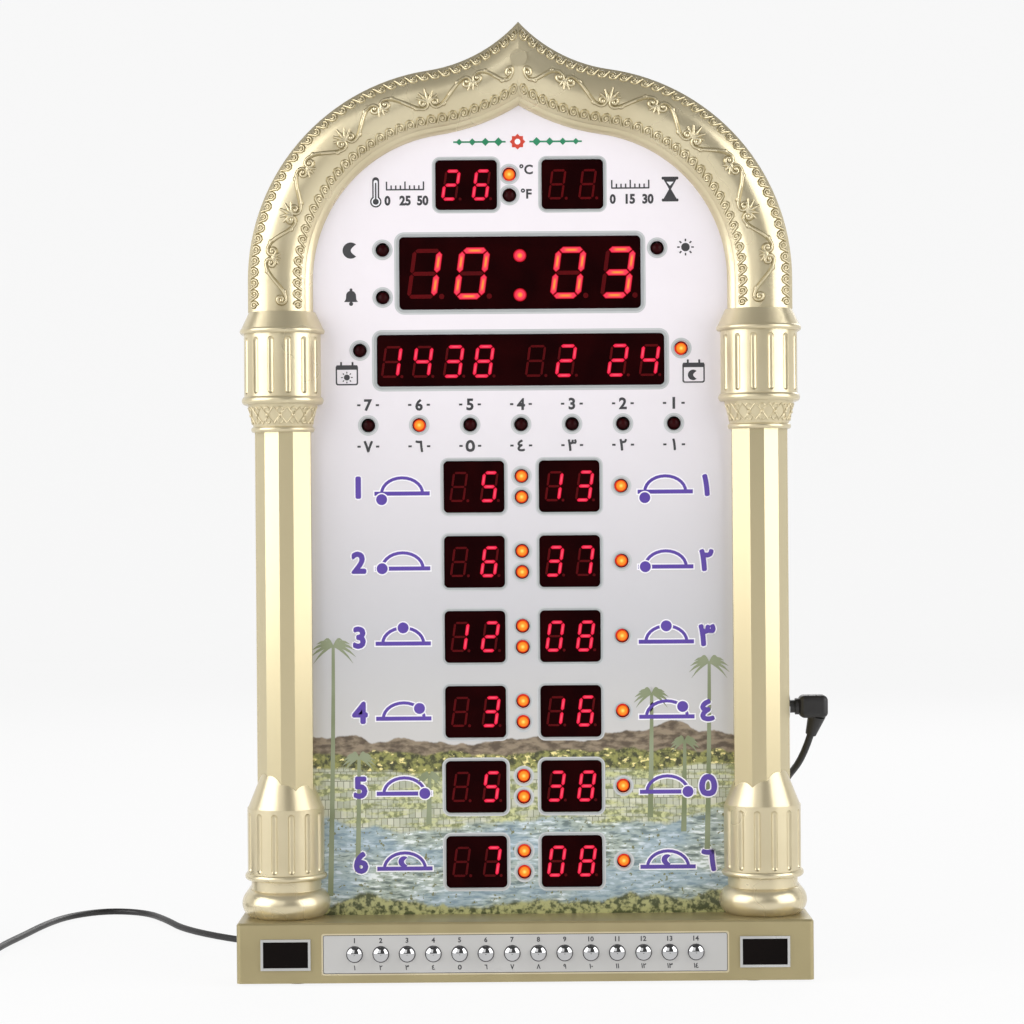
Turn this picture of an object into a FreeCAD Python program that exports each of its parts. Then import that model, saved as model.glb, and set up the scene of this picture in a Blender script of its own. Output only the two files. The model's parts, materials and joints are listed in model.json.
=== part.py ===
"""Azan clock: a keel-arch frame on two columns and a plinth, with LED displays and push buttons.

Millimetres. +Z up, the face looks along -Y, +X to the right of the face. The origin is the middle
of the footprint, on the surface that the feet stand on. Depths are counted from the front of the
plinth towards the rear.
"""
import FreeCAD
import Part
import math
import os
import re

import Sketcher

Vector = FreeCAD.Vector

# Driving sizes
SIZES = {
    # Whole
    "overall_height": 400.0,
    "column_spread": 100.0,
    # Plinth
    "plinth_width": 238.0,
    "plinth_depth": 48.0,
    "plinth_top": 26.0,
    "plinth_wall": 2.5,
    "plinth_corner": 2.0,
    "plinth_bevel": 0.8,
    "bottom_thick": 1.8,
    "post_radius": 3.5,
    "post_inset": 12.0,
    "foot_height": 1.2,
    "foot_radius": 6.0,
    "foot_inset": 12.0,
    "part_gap": 0.2,
    "fit_gap": 0.05,
    # Buttons and their board
    "button_height": 13.0,
    "button_pitch": 10.82,
    "button_radius": 2.95,
    "button_proud": 2.0,
    "button_crown": 1.1,
    "button_flange": 3.9,
    "flange_thick": 0.8,
    "button_nib": 1.5,
    "button_play": 0.1,
    "press_travel": 0.6,
    "plate_width": 166.7,
    "plate_height": 16.0,
    "plate_thick": 1.2,
    "plate_corner": 1.0,
    "slot_height": 10.5,
    "switch_width": 6.0,
    "switch_thick": 3.3,
    "plunger_radius": 1.75,
    "plunger_proud": 0.6,
    "button_board_depth": 8.2,
    "board_margin": 1.0,
    "button_board_height": 15.0,
    "button_board_post": 87.0,
    "button_board_post_radius": 2.2,
    "board_thick": 1.6,
    # Remote windows
    "window_inset": 20.3,
    "window_width": 18.5,
    "window_height": 10.7,
    "window_proud": 0.4,
    "window_thick": 3.4,
    "bezel_border": 1.05,
    "bezel_thick": 0.8,
    "receiver_width": 6.0,
    # Case depths
    "panel_depth": 22.0,
    "panel_thick": 2.0,
    "cover_thick": 2.0,
    # Keel arch
    "arch_spring": 292.0,
    "arch_foot": 279.0,
    "arch_reach": 114.0,
    "arch_radius": 88.8,
    "crest_angle": 8.3,
    "band_width": 27.0,
    "band_edge_depth": 19.0,
    "band_round": 15.0,
    "lip_width": 2.8,
    "lip_round": 5.0,
    "lip_step": 0.4,
    "lip_depth": 18.4,
    "arch_wall": 2.5,
    "panel_inset": 14.0,
    "cover_inset": 1.2,
    "cover_side": 110.5,
    "crest_boss_height": 384.0,
    "boss_radius": 3.6,
    "boss_reach": 6.8,
    # Columns
    "bore_radius": 9.0,
    "block_start": 1.5,
    "drum_radius": 16.1,
    "flare_radius": 14.0,
    "flare_bottom": 272.2,
    "capital_ring_radius": 17.9,
    "capital_ring_bottom": 269.9,
    "lower_ring_radius": 17.2,
    "lower_ring_top": 243.6,
    "lower_ring_bottom": 240.4,
    "collar_radius": 14.7,
    "collar_foot_radius": 12.4,
    "collar_bottom": 231.0,
    "neck_ring_radius": 13.3,
    "neck_ring_bottom": 228.8,
    "shaft_half": 11.8,
    "facet_inner": 5.1,
    "facet_outer": 0.9,
    "facet_side": 7.1,
    "facet_front": 10.4,
    "facet_inner_depth": 17.0,
    "facet_side_depth": 14.5,
    "shaft_wall": 1.6,
    "cone_top": 86.0,
    "cone_top_radius": 10.0,
    "cone_foot_radius": 15.8,
    "base_drum_top": 71.6,
    "base_ring_radius": 17.3,
    "base_ring_top": 44.4,
    "base_ring_bottom": 41.8,
    "neck_radius": 14.6,
    "torus_top": 37.4,
    "torus_waist": 15.2,
    "torus_round": 6.6,
    "socket_gap": 0.05,
    "flute_radius": 1.54,
    "flute_sink": 0.9,
    "flute_step": 25.7,
    "flute_top": 267.0,
    "flute_bottom": 246.0,
    "base_flute_top": 68.6,
    "base_flute_bottom": 46.4,
    # Face windows
    "window_corner": 1.5,
    "small_row": 332.2,
    "small_spread": 22.3,
    "small_width": 26.0,
    "small_height": 21.0,
    "time_row": 295.2,
    "time_width": 101.5,
    "time_height": 30.6,
    "date_row": 258.6,
    "date_width": 120.8,
    "date_height": 21.8,
    "first_row": 205.4,
    "row_pitch": 31.5,
    "digit_spread": 20.0,
    "digit_width": 25.6,
    "digit_height": 21.8,
    "display_gap": 0.25,
    "display_recess": 0.3,
    # Lamps
    "lamp_hole": 2.95,
    "lamp_radius": 2.5,
    "lamp_flange": 2.9,
    "lamp_flange_thick": 1.0,
    "colon_half": 4.4,
    "scale_lamp_offset": 4.2,
    "prayer_lamp_offset": 41.8,
    "status_gap": 6.95,
    "status_half": 10.0,
    "calendar_gap": 7.1,
    "calendar_row": 263.0,
    "weekday_row": 231.5,
    "weekday_pitch": 21.4,
    # Main board
    "standoff_length": 7.0,
    "standoff_radius": 3.0,
    "standoff_offset": 66.0,
    "standoff_low": 60.0,
    "standoff_mid": 187.0,
    "standoff_high": 326.0,
    "main_board_half": 72.0,
    "main_board_bottom": 32.0,
    "main_board_top": 350.0,
    "chip_width": 18.0,
    "chip_height": 8.0,
    "chip_thick": 2.4,
    "chip_pitch": 30.0,
    "cell_radius": 10.0,
    "cell_thick": 3.2,
    "ribbon_width": 14.0,
    "ribbon_thick": 0.8,
    "ribbon_top": 48.0,
    "ribbon_floor": 12.0,
    "ribbon_bend": 4.0,
    "screw_radius": 1.2,
    "screw_head": 2.5,
    "screw_head_thick": 1.4,
    "screw_length": 8.0,
    # Rear cover
    "hanger_radius": 4.0,
    "hanger_slot": 4.0,
    "hanger_rise": 9.0,
    "hanger_spacing": 120.0,
    "hanger_height": 290.0,
    "speaker_height": 215.0,
    "speaker_radius": 25.0,
    "speaker_flange": 1.5,
    "basket_rim": 22.6,
    "basket_foot": 12.5,
    "basket_depth": 6.5,
    "basket_wall": 1.6,
    "cone_hub": 5.0,
    "cone_paper": 0.5,
    "magnet_radius": 11.0,
    "magnet_thick": 3.5,
    "grille_hole": 1.4,
    "grille_step": 5.6,
    "cover_screw_offset": 108.0,
    "cover_screw_low": 52.0,
    "cover_screw_high": 256.0,
    # Power socket and plug
    "jack_height": 111.2,
    "jack_depth": 36.0,
    "jack_barrel": 4.0,
    "jack_flange": 5.5,
    "jack_flange_thick": 1.2,
    "jack_length": 13.0,
    "jack_bore": 2.8,
    "sleeve_radius": 2.75,
    "sleeve_in": 9.0,
    "sleeve_shows": 2.6,
    "plug_collar": 3.5,
    "plug_collar_length": 1.5,
    "plug_length": 12.2,
    "plug_width": 9.6,
    "plug_height": 9.7,
    "plug_round": 2.4,
    "relief_length": 9.0,
    "relief_root": 3.8,
    "relief_tip": 2.3,
    # Cord and adapter
    "cord_radius": 1.5,
    "coil_x": -258.7,
    "coil_y": 15.0,
    "coil_radius": 22.7,
    "coil_pitch": 3.5,
    "coil_lift": 0.55,
    "coil_tail": 14.0,
    "tie_thick": 0.5,
    "tie_width": 5.0,
    "adapter_width": 34.0,
    "adapter_length": 60.0,
    "adapter_height": 28.0,
    "adapter_relief": 3.2,
    "adapter_relief_tip": 1.9,
    "adapter_relief_length": 16.0,
    "adapter_round": 3.0,
    "pin_radius": 2.0,
    "pin_length": 19.0,
    "pin_spacing": 19.0,
}

BUTTON_COUNT = 14
PRAYER_ROWS = 6
WEEKDAYS = 7
FLUTES = 6
CHIPS = 4
COIL_TURNS = 3
GRILLE_RINGS = (1, 6, 12, 18)

# Where the cord runs, in millimetres: out of the plug's relief, down behind the case, along the
# table and out to the left in a loose bend, up to the coil
CORD_ROUTE = [
    (122.45, 15.55, 99.1),
    (119.3, 19.1, 88.1),
    (113.0, 33.0, 78.0),
    (103.0, 44.0, 57.0),
    (98.0, 48.5, 34.0),
    (91.0, 50.5, 13.0),
    (72.0, 52.0, 1.6),
    (46.0, 54.0, 1.6),
    (0.0, 62.0, 1.6),
    (-46.0, 60.0, 1.6),
    (-92.0, 66.0, 1.6),
    (-128.0, 86.0, 1.6),
    (-158.0, 120.0, 1.6),
    (-170.0, 150.0, 1.6),
    (-183.0, 174.0, 1.6),
    (-203.0, 181.0, 1.6),
    (-219.0, 165.0, 1.6),
    (-226.0, 138.0, 1.7),
    (-230.0, 106.0, 1.8),
    (-234.0, 78.0, 2.0),
    (-236.0, 48.0, 2.05),
]

doc = FreeCAD.newDocument("AzanClock")
sheet = doc.addObject("Spreadsheet::Sheet", "Sizes")
for row, (alias, value) in enumerate(SIZES.items(), start=1):
    sheet.set(f"A{row}", alias)
    sheet.set(f"B{row}", str(value))
    sheet.setAlias(f"B{row}", alias)
doc.recompute()

NODES = []


def sized(text):
    """An expression with each size's name pointing at its cell."""
    return re.sub(r"[a-z_]{3,}", lambda m: f"Sizes.{m.group()}" if m.group() in SIZES else m.group(),
                  str(text))


def number(text):
    """The value of an expression, in millimetres or degrees."""
    value = sheet.evalExpression(sized(text))
    return float(getattr(value, "Value", value))


def bind(thing, **expressions):
    """Ties properties to the sheet; a double underscore in a name stands for a dot."""
    for name, text in expressions.items():
        thing.setExpression(name.replace("__", "."), sized(text))
    return thing


def node(thing, label):
    """Marks an object as one named piece of the clock."""
    thing.Label = label
    NODES.append(thing)
    return thing


def at(thing, x="0", y="0", z="0"):
    return bind(thing, Placement__Base__x=x, Placement__Base__y=y, Placement__Base__z=z)


def depth(text):
    """The Y of a depth behind the plinth's front."""
    return f"({text}) - (plinth_depth - button_proud) / 2"


def box(name, low, size):
    thing = doc.addObject("Part::Box", name)
    bind(thing, Length=size[0], Width=size[1], Height=size[2])
    return at(thing, *low)


TURNS = {
    "x": FreeCAD.Rotation(Vector(0, 1, 0), 90),
    "y": FreeCAD.Rotation(Vector(1, 0, 0), -90),
    "z": FreeCAD.Rotation(),
}


def rod(name, foot, radius, length, along="z"):
    """A cylinder from foot towards +X, +Y or +Z."""
    thing = doc.addObject("Part::Cylinder", name)
    thing.Placement.Rotation = TURNS[along]
    bind(thing, Radius=radius, Height=length)
    return at(thing, *foot)


def ball(name, centre, radius):
    thing = doc.addObject("Part::Sphere", name)
    bind(thing, Radius=radius)
    return at(thing, *centre)


def fuse(name, parts):
    thing = doc.addObject("Part::MultiFuse", name)
    thing.Shapes = parts
    thing.Refine = True
    return thing


def cut(name, base, tools):
    thing = doc.addObject("Part::Cut", name)
    thing.Base = base
    thing.Tool = tools[0] if len(tools) == 1 else group(f"{name}_tools", tools)
    return thing


def group(name, parts):
    thing = doc.addObject("Part::Compound", name)
    thing.Links = parts
    return thing


def mirrored(name, source):
    thing = doc.addObject("Part::Mirroring", name)
    thing.Source = source
    thing.Normal = Vector(1, 0, 0)
    return thing


def body(name, x="0", y="0", z="0"):
    return at(doc.addObject("PartDesign::Body", name), x, y, z)


def sketch_in(owner, name, role, offset="0"):
    """A sketch on one of the body's origin planes, moved along that plane's normal."""
    sketch = owner.newObject("Sketcher::SketchObject", name)
    plane = [f for f in owner.Origin.OriginFeatures if f.Role == role][0]
    sketch.AttachmentSupport = [(plane, "")]
    sketch.MapMode = "FlatFace"
    return bind(sketch, AttachmentOffset__Base__z=offset)


def hold(sketch, kind, geometry, point, text):
    """Places one coordinate of a point of the sketch."""
    if text == "0":
        axis = -2 if kind == "DistanceX" else -1
        sketch.addConstraint(Sketcher.Constraint("PointOnObject", geometry, point, axis))
        return
    index = sketch.addConstraint(Sketcher.Constraint(kind, -1, 1, geometry, point, number(text)))
    sketch.setExpression(f"Constraints[{index}]", sized(text))


def hold_radius(sketch, geometry, text):
    index = sketch.addConstraint(Sketcher.Constraint("Radius", geometry, number(text)))
    sketch.setExpression(f"Constraints[{index}]", sized(text))


def arc_between(start, end, radius):
    """The short arc from start to end: a positive radius keeps its centre on the left."""
    chord = end - start
    half = chord.Length / 2
    size = abs(radius)
    left = Vector(-chord.y, chord.x, 0).normalize()
    rise = math.sqrt(max(size * size - half * half, 0.0))
    centre = (start + end) / 2 + left * math.copysign(rise, radius)
    angles = [math.atan2(p.y - centre.y, p.x - centre.x) for p in (start, end)]
    if radius < 0:
        angles.reverse()
    return Part.ArcOfCircle(Part.Circle(centre, Vector(0, 0, 1), size), *angles)


def outline(sketch, corners):
    """A closed outline through corners (across, up). A third entry bends the stretch that leaves
    the corner: (side, radius), where side 1 keeps the arc's centre on the left and -1 on the right."""
    points = [Vector(number(c[0]), number(c[1]), 0) for c in corners]
    ends = []
    for i, corner in enumerate(corners):
        start = points[i]
        end = points[(i + 1) % len(points)]
        if len(corner) == 2:
            ends.append((sketch.addGeometry(Part.LineSegment(start, end), False), 1, 2))
            continue
        side, radius = corner[2]
        arc = sketch.addGeometry(arc_between(start, end, side * number(radius)), False)
        ends.append((arc, 1, 2) if side > 0 else (arc, 2, 1))
    for i, corner in enumerate(corners):
        geometry, first, _ = ends[i]
        before, _, last = ends[i - 1]
        sketch.addConstraint(Sketcher.Constraint("Coincident", before, last, geometry, first))
        hold(sketch, "DistanceX", geometry, first, corner[0])
        hold(sketch, "DistanceY", geometry, first, corner[1])
        if len(corner) == 3:
            hold_radius(sketch, geometry, corner[2][1])
    return sketch


def rectangle(sketch, x, y, width, height, corner=None):
    """A rectangle about (x, y), with rounded corners if a corner radius is given."""
    left, right = f"({x}) - ({width}) / 2", f"({x}) + ({width}) / 2"
    low, high = f"({y}) - ({height}) / 2", f"({y}) + ({height}) / 2"
    if corner is None:
        return outline(sketch, [(left, low), (right, low), (right, high), (left, high)])
    return outline(sketch, [
        (f"{left} + {corner}", low),
        (f"{right} - {corner}", low, (1, corner)),
        (right, f"{low} + {corner}"),
        (right, f"{high} - {corner}", (1, corner)),
        (f"{right} - {corner}", high),
        (f"{left} + {corner}", high, (1, corner)),
        (left, f"{high} - {corner}"),
        (left, f"{low} + {corner}", (1, corner)),
    ])


def hole(sketch, x, y, radius):
    circle = Part.Circle(Vector(number(x), number(y), 0), Vector(0, 0, 1), number(radius))
    index = sketch.addGeometry(circle, False)
    hold(sketch, "DistanceX", index, 3, x)
    hold(sketch, "DistanceY", index, 3, y)
    hold_radius(sketch, index, radius)
    return sketch


def pad(owner, name, sketch, length, backwards=False):
    feature = owner.newObject("PartDesign::Pad", name)
    feature.Profile = sketch
    feature.Reversed = backwards
    return bind(feature, Length=length)


def pocket(owner, name, sketch, length, backwards=False):
    feature = owner.newObject("PartDesign::Pocket", name)
    feature.Profile = sketch
    feature.Reversed = backwards
    return bind(feature, Length=length)


def turned(owner, name, sketch, angle=360):
    """Turns a profile about the sketch's upright axis."""
    feature = owner.newObject("PartDesign::Revolution", name)
    feature.Profile = sketch
    feature.ReferenceAxis = (sketch, ["V_Axis"])
    feature.Angle = angle
    return feature


# Keel arch: a flank circle each side of the middle and a crest circle that curves the other way.
# They meet at the angle crest_angle from upright, and the crest circles cross at the top.
FLANK_X = "(arch_reach - arch_radius)"
MEET_X = f"({FLANK_X} + arch_radius * sin(crest_angle))"
MEET_Z = "(arch_spring + arch_radius * cos(crest_angle))"
SHORTFALL = f"({MEET_Z} - overall_height)"
CREST_RADIUS = (
    f"(-({MEET_X} * {MEET_X} + {SHORTFALL} * {SHORTFALL})"
    f" / (2 * ({MEET_X} * sin(crest_angle) + {SHORTFALL} * cos(crest_angle))))"
)
CREST_X = f"({MEET_X} + {CREST_RADIUS} * sin(crest_angle))"
CREST_Z = f"({MEET_Z} + {CREST_RADIUS} * cos(crest_angle))"


def keel(sketch, foot, side, inset):
    """The arch's outline drawn inwards by inset, on straight sides that start at foot."""
    flank = f"(arch_radius - {inset})"
    crest = f"({CREST_RADIUS} + {inset})"
    meet_x = f"({FLANK_X} + {flank} * sin(crest_angle))"
    meet_z = f"(arch_spring + {flank} * cos(crest_angle))"
    top = f"({CREST_Z} - sqrt({crest} * {crest} - {CREST_X} * {CREST_X}))"
    reach = f"(arch_reach - {inset})"
    right = [(side, foot)]
    if side != reach:
        right += [(side, "arch_foot"), (reach, "arch_foot")]
    right += [(reach, "arch_spring", (1, flank)), (meet_x, meet_z, (-1, crest))]
    left = [(f"-{meet_x}", meet_z, (1, flank)), (f"-{reach}", "arch_spring")]
    if side != reach:
        left += [(f"-{reach}", "arch_foot"), (f"-{side}", "arch_foot")]
    left += [(f"-{side}", foot)]
    return outline(sketch, right + [("0", top, (-1, crest))] + left)


def band_section(name, edge, height):
    """The arch moulding's section on a level plane, from the line of its outer edge inwards."""
    sketch = doc.addObject("Sketcher::SketchObject", name)
    at(sketch, z=height)

    def spot(inset, back):
        return f"{edge} - ({inset})", depth(back)

    lip = "band_width - lip_width"
    return outline(sketch, [
        spot("0", "plinth_depth - cover_thick"),
        spot("0", "band_edge_depth") + ((-1, "band_round"),),
        spot(f"{lip} - lip_step", "lip_depth - lip_step * 1.5"),
        spot(lip, "lip_depth") + ((-1, "lip_round"),),
        spot("band_width", "panel_depth"),
        spot("band_width - arch_wall * 1.4", "panel_depth"),
        spot(f"{lip} - arch_wall * 0.5",
             "panel_depth - arch_wall * 0.8") + ((1, "band_round - arch_wall * 0.8"),),
        spot("arch_wall", "band_edge_depth + arch_wall * 0.6"),
        spot("arch_wall", "plinth_depth - cover_thick"),
    ])


def around(name, section, x, z):
    """Turns a section about a fore-and-aft axis through (x, z), until the flank meets the crest."""
    thing = doc.addObject("Part::Revolution", name)
    thing.Source = section
    thing.Axis = Vector(0, -1, 0)
    thing.Solid = True
    return bind(thing, Base__x=x, Base__z=z, Angle="90 - crest_angle")


def make_arch_frame():
    section = band_section("BandSection", "arch_reach", "arch_spring")
    leg = doc.addObject("Part::Extrusion", "BandLeg")
    leg.Base = section
    leg.DirMode = "Custom"
    leg.Dir = Vector(0, 0, -1)
    leg.Solid = True
    bind(leg, LengthFwd="arch_spring - arch_foot")
    flank = around("BandFlank", section, FLANK_X, "arch_spring")
    crest_section = band_section("CrestSection", f"({CREST_X} - {CREST_RADIUS})", CREST_Z)
    crest = around("BandCrest", crest_section, CREST_X, CREST_Z)
    right_side = box("RightSide", ("0", depth("0"), "arch_foot"),
                     ("plinth_width", "plinth_depth", "overall_height"))
    trimmed = doc.addObject("Part::Common", "CrestTrimmed")
    trimmed.Base = crest
    trimmed.Tool = right_side
    half = fuse("RightBand", [leg, flank, trimmed])
    reach = "(plinth_depth - cover_thick - band_edge_depth + boss_reach)"
    boss = rod("CrestBoss", ("0", depth(f"plinth_depth - cover_thick - {reach}"), "crest_boss_height"),
               "boss_radius",
               reach, "y")
    whole = fuse("WholeBand", [half, mirrored("LeftBand", half), boss])
    pilot = screw_hole("CrestPilot", "0", "crest_boss_height")
    return node(cut("ArchFrame", whole, [pilot]), "arch_frame")


def screw_hole(name, x, z):
    """The pilot hole that a rear cover screw bites into."""
    return rod(name, (x, depth("plinth_depth - cover_thick - screw_length"), z), "screw_radius + fit_gap",
               "screw_length", "y")


def ring_bulge(high, low):
    """The radius of a half-round ring between two heights."""
    return f"(({high}) - ({low})) * 0.6"


def capital_profile(inner):
    """Half of the capital's profile as (across, up), from an inner line outwards."""
    return [
        (inner, "neck_ring_bottom"),
        ("neck_ring_radius - 0.6", "neck_ring_bottom",
         (1, ring_bulge("collar_bottom", "neck_ring_bottom"))),
        ("neck_ring_radius - 0.6", "collar_bottom"),
        ("collar_foot_radius", "collar_bottom"),
        ("collar_radius", "lower_ring_bottom"),
        ("lower_ring_radius - 0.9", "lower_ring_bottom",
         (1, ring_bulge("lower_ring_top", "lower_ring_bottom"))),
        ("lower_ring_radius - 0.9", "lower_ring_top"),
        ("drum_radius", "lower_ring_top"),
        ("drum_radius", "capital_ring_bottom"),
        ("capital_ring_radius - 0.7", "capital_ring_bottom",
         (1, ring_bulge("flare_bottom", "capital_ring_bottom"))),
        ("capital_ring_radius - 0.7", "flare_bottom"),
        ("flare_radius", "arch_foot"),
        (inner, "arch_foot"),
    ]


def base_profile(inner):
    """Half of the column base's profile as (across, up), from an inner line outwards."""
    return [
        (inner, "plinth_top"),
        ("torus_waist", "plinth_top", (1, "torus_round")),
        ("torus_waist", "torus_top"),
        ("neck_radius", "torus_top"),
        ("neck_radius", "base_ring_bottom"),
        ("base_ring_radius - 0.8", "base_ring_bottom",
         (1, ring_bulge("base_ring_top", "base_ring_bottom"))),
        ("base_ring_radius - 0.8", "base_ring_top"),
        ("drum_radius", "base_ring_top"),
        ("drum_radius", "base_drum_top"),
        ("cone_foot_radius", "base_drum_top"),
        ("cone_top_radius", "cone_top"),
        (inner, "cone_top"),
    ]


def flutes(name, low, high):
    """Round-ended grooves round the front of a drum of the right-hand column."""
    out = "(drum_radius + flute_radius - flute_sink)"
    tools = []
    for i in range(FLUTES):
        turn = f"(flute_step * {i - (FLUTES - 1) / 2})"
        x = f"column_spread + {out} * sin({turn})"
        y = depth(f"panel_depth - {out} * cos({turn})")
        tools.append(rod(f"{name}{i}", (x, y, low), "flute_radius", f"{high} - {low}"))
        tools.append(ball(f"{name}Low{i}", (x, y, low), "flute_radius"))
        tools.append(ball(f"{name}High{i}", (x, y, high), "flute_radius"))
    return tools


def column_end(name, profile):
    """A half-round moulding in front of the face, with a screw block behind it."""
    owner = body(name, x="column_spread", y=depth("panel_depth"))
    front = turned(owner, f"{name}Front",
                   outline(sketch_in(owner, f"{name}Round", "XZ_Plane"), profile("bore_radius")), 180)
    back = outline(sketch_in(owner, f"{name}Block", "XZ_Plane"), profile("block_start"))
    pad(owner, f"{name}Back", back, "plinth_depth - cover_thick - panel_depth", backwards=True)
    doc.recompute()
    if front.Shape.CenterOfMass.y > 0:
        front.Reversed = True
        doc.recompute()
    return owner


def shaft_corners(gap):
    """The faceted shaft's outline in front of the face, drawn outwards by gap."""
    return [
        (f"-shaft_half - {gap}", "0"),
        (f"-shaft_half - {gap}", f"facet_inner_depth - panel_depth - {gap} * 0.4"),
        (f"-facet_inner - {gap} * 0.4", f"facet_front - panel_depth - {gap}"),
        (f"facet_outer + {gap} * 0.3", f"facet_front - panel_depth - {gap}"),
        (f"facet_side + {gap} * 0.7", f"facet_side_depth - panel_depth - {gap} * 0.8"),
        (f"shaft_half + {gap}", "0"),
    ]


def make_columns():
    capital = column_end("Capital", capital_profile)
    pilot = screw_hole("CapitalPilot", "cover_screw_offset", "cover_screw_high")
    right_capital = cut("RightCapital", capital, flutes("Flute", "flute_bottom", "flute_top") + [pilot])
    node(right_capital, "right_capital")
    node(mirrored("LeftCapital", right_capital), "left_capital")

    shaft = body("Shaft", x="column_spread", y=depth("panel_depth"))
    section = sketch_in(shaft, "ShaftSection", "XY_Plane", "base_drum_top")
    back = "plinth_depth - cover_thick - panel_depth"
    outline(section, shaft_corners("0") + [
        ("shaft_half", back),
        ("shaft_half - shaft_wall", back),
        ("shaft_half - shaft_wall", "0"),
    ])
    outline(section, [
        ("-shaft_half + shaft_wall", "-shaft_wall"),
        ("-shaft_half + shaft_wall", "facet_inner_depth - panel_depth + shaft_wall * 0.4"),
        ("-facet_inner + shaft_wall * 0.5", "facet_front - panel_depth + shaft_wall"),
        ("facet_outer - shaft_wall * 0.3", "facet_front - panel_depth + shaft_wall"),
        ("facet_side - shaft_wall * 0.7", "facet_side_depth - panel_depth + shaft_wall * 0.8"),
        ("shaft_half - shaft_wall * 1.3", "-shaft_wall"),
    ])
    pad(shaft, "ShaftLength", section, "neck_ring_bottom - base_drum_top")
    socket_hole = rod("SocketHole", ("column_spread", depth("jack_depth"), "jack_height"),
                      "jack_barrel + part_gap / 2",
                      "shaft_half * 2", "x")
    node(cut("RightShaft", shaft, [socket_hole]), "right_column_shaft")
    node(mirrored("LeftShaft", shaft), "left_column_shaft")

    foot = column_end("ColumnBase", base_profile)
    socket = body("ShaftSocket", x="column_spread", y=depth("panel_depth"))
    hollow = sketch_in(socket, "SocketSection", "XY_Plane", "base_drum_top")
    outline(hollow, shaft_corners("socket_gap") + [
        ("shaft_half + socket_gap", back),
        ("block_start - 1", back),
        ("block_start - 1", "0"),
    ])
    pad(socket, "SocketLength", hollow, "cone_top - base_drum_top + 1")
    low_pilot = screw_hole("BasePilot", "cover_screw_offset", "cover_screw_low")
    tools = flutes("BaseFlute", "base_flute_bottom", "base_flute_top") + [socket, low_pilot]
    right_base = cut("RightBase", foot, tools)
    node(right_base, "right_column_base")
    node(mirrored("LeftBase", right_base), "left_column_base")


def button_x(i):
    return f"button_pitch * {i - (BUTTON_COUNT - 1) / 2}"


def plinth_posts():
    """Where the bottom plate is screwed to the plinth, as (across, back)."""
    side = "(plinth_width / 2 - post_inset)"
    return [(f"{way}{side}", back) for way in ("-", "") for back in ("post_inset",
                                                                     "plinth_depth - post_inset")]


WINDOW_SPREAD = "(plinth_width / 2 - window_inset)"


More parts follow.
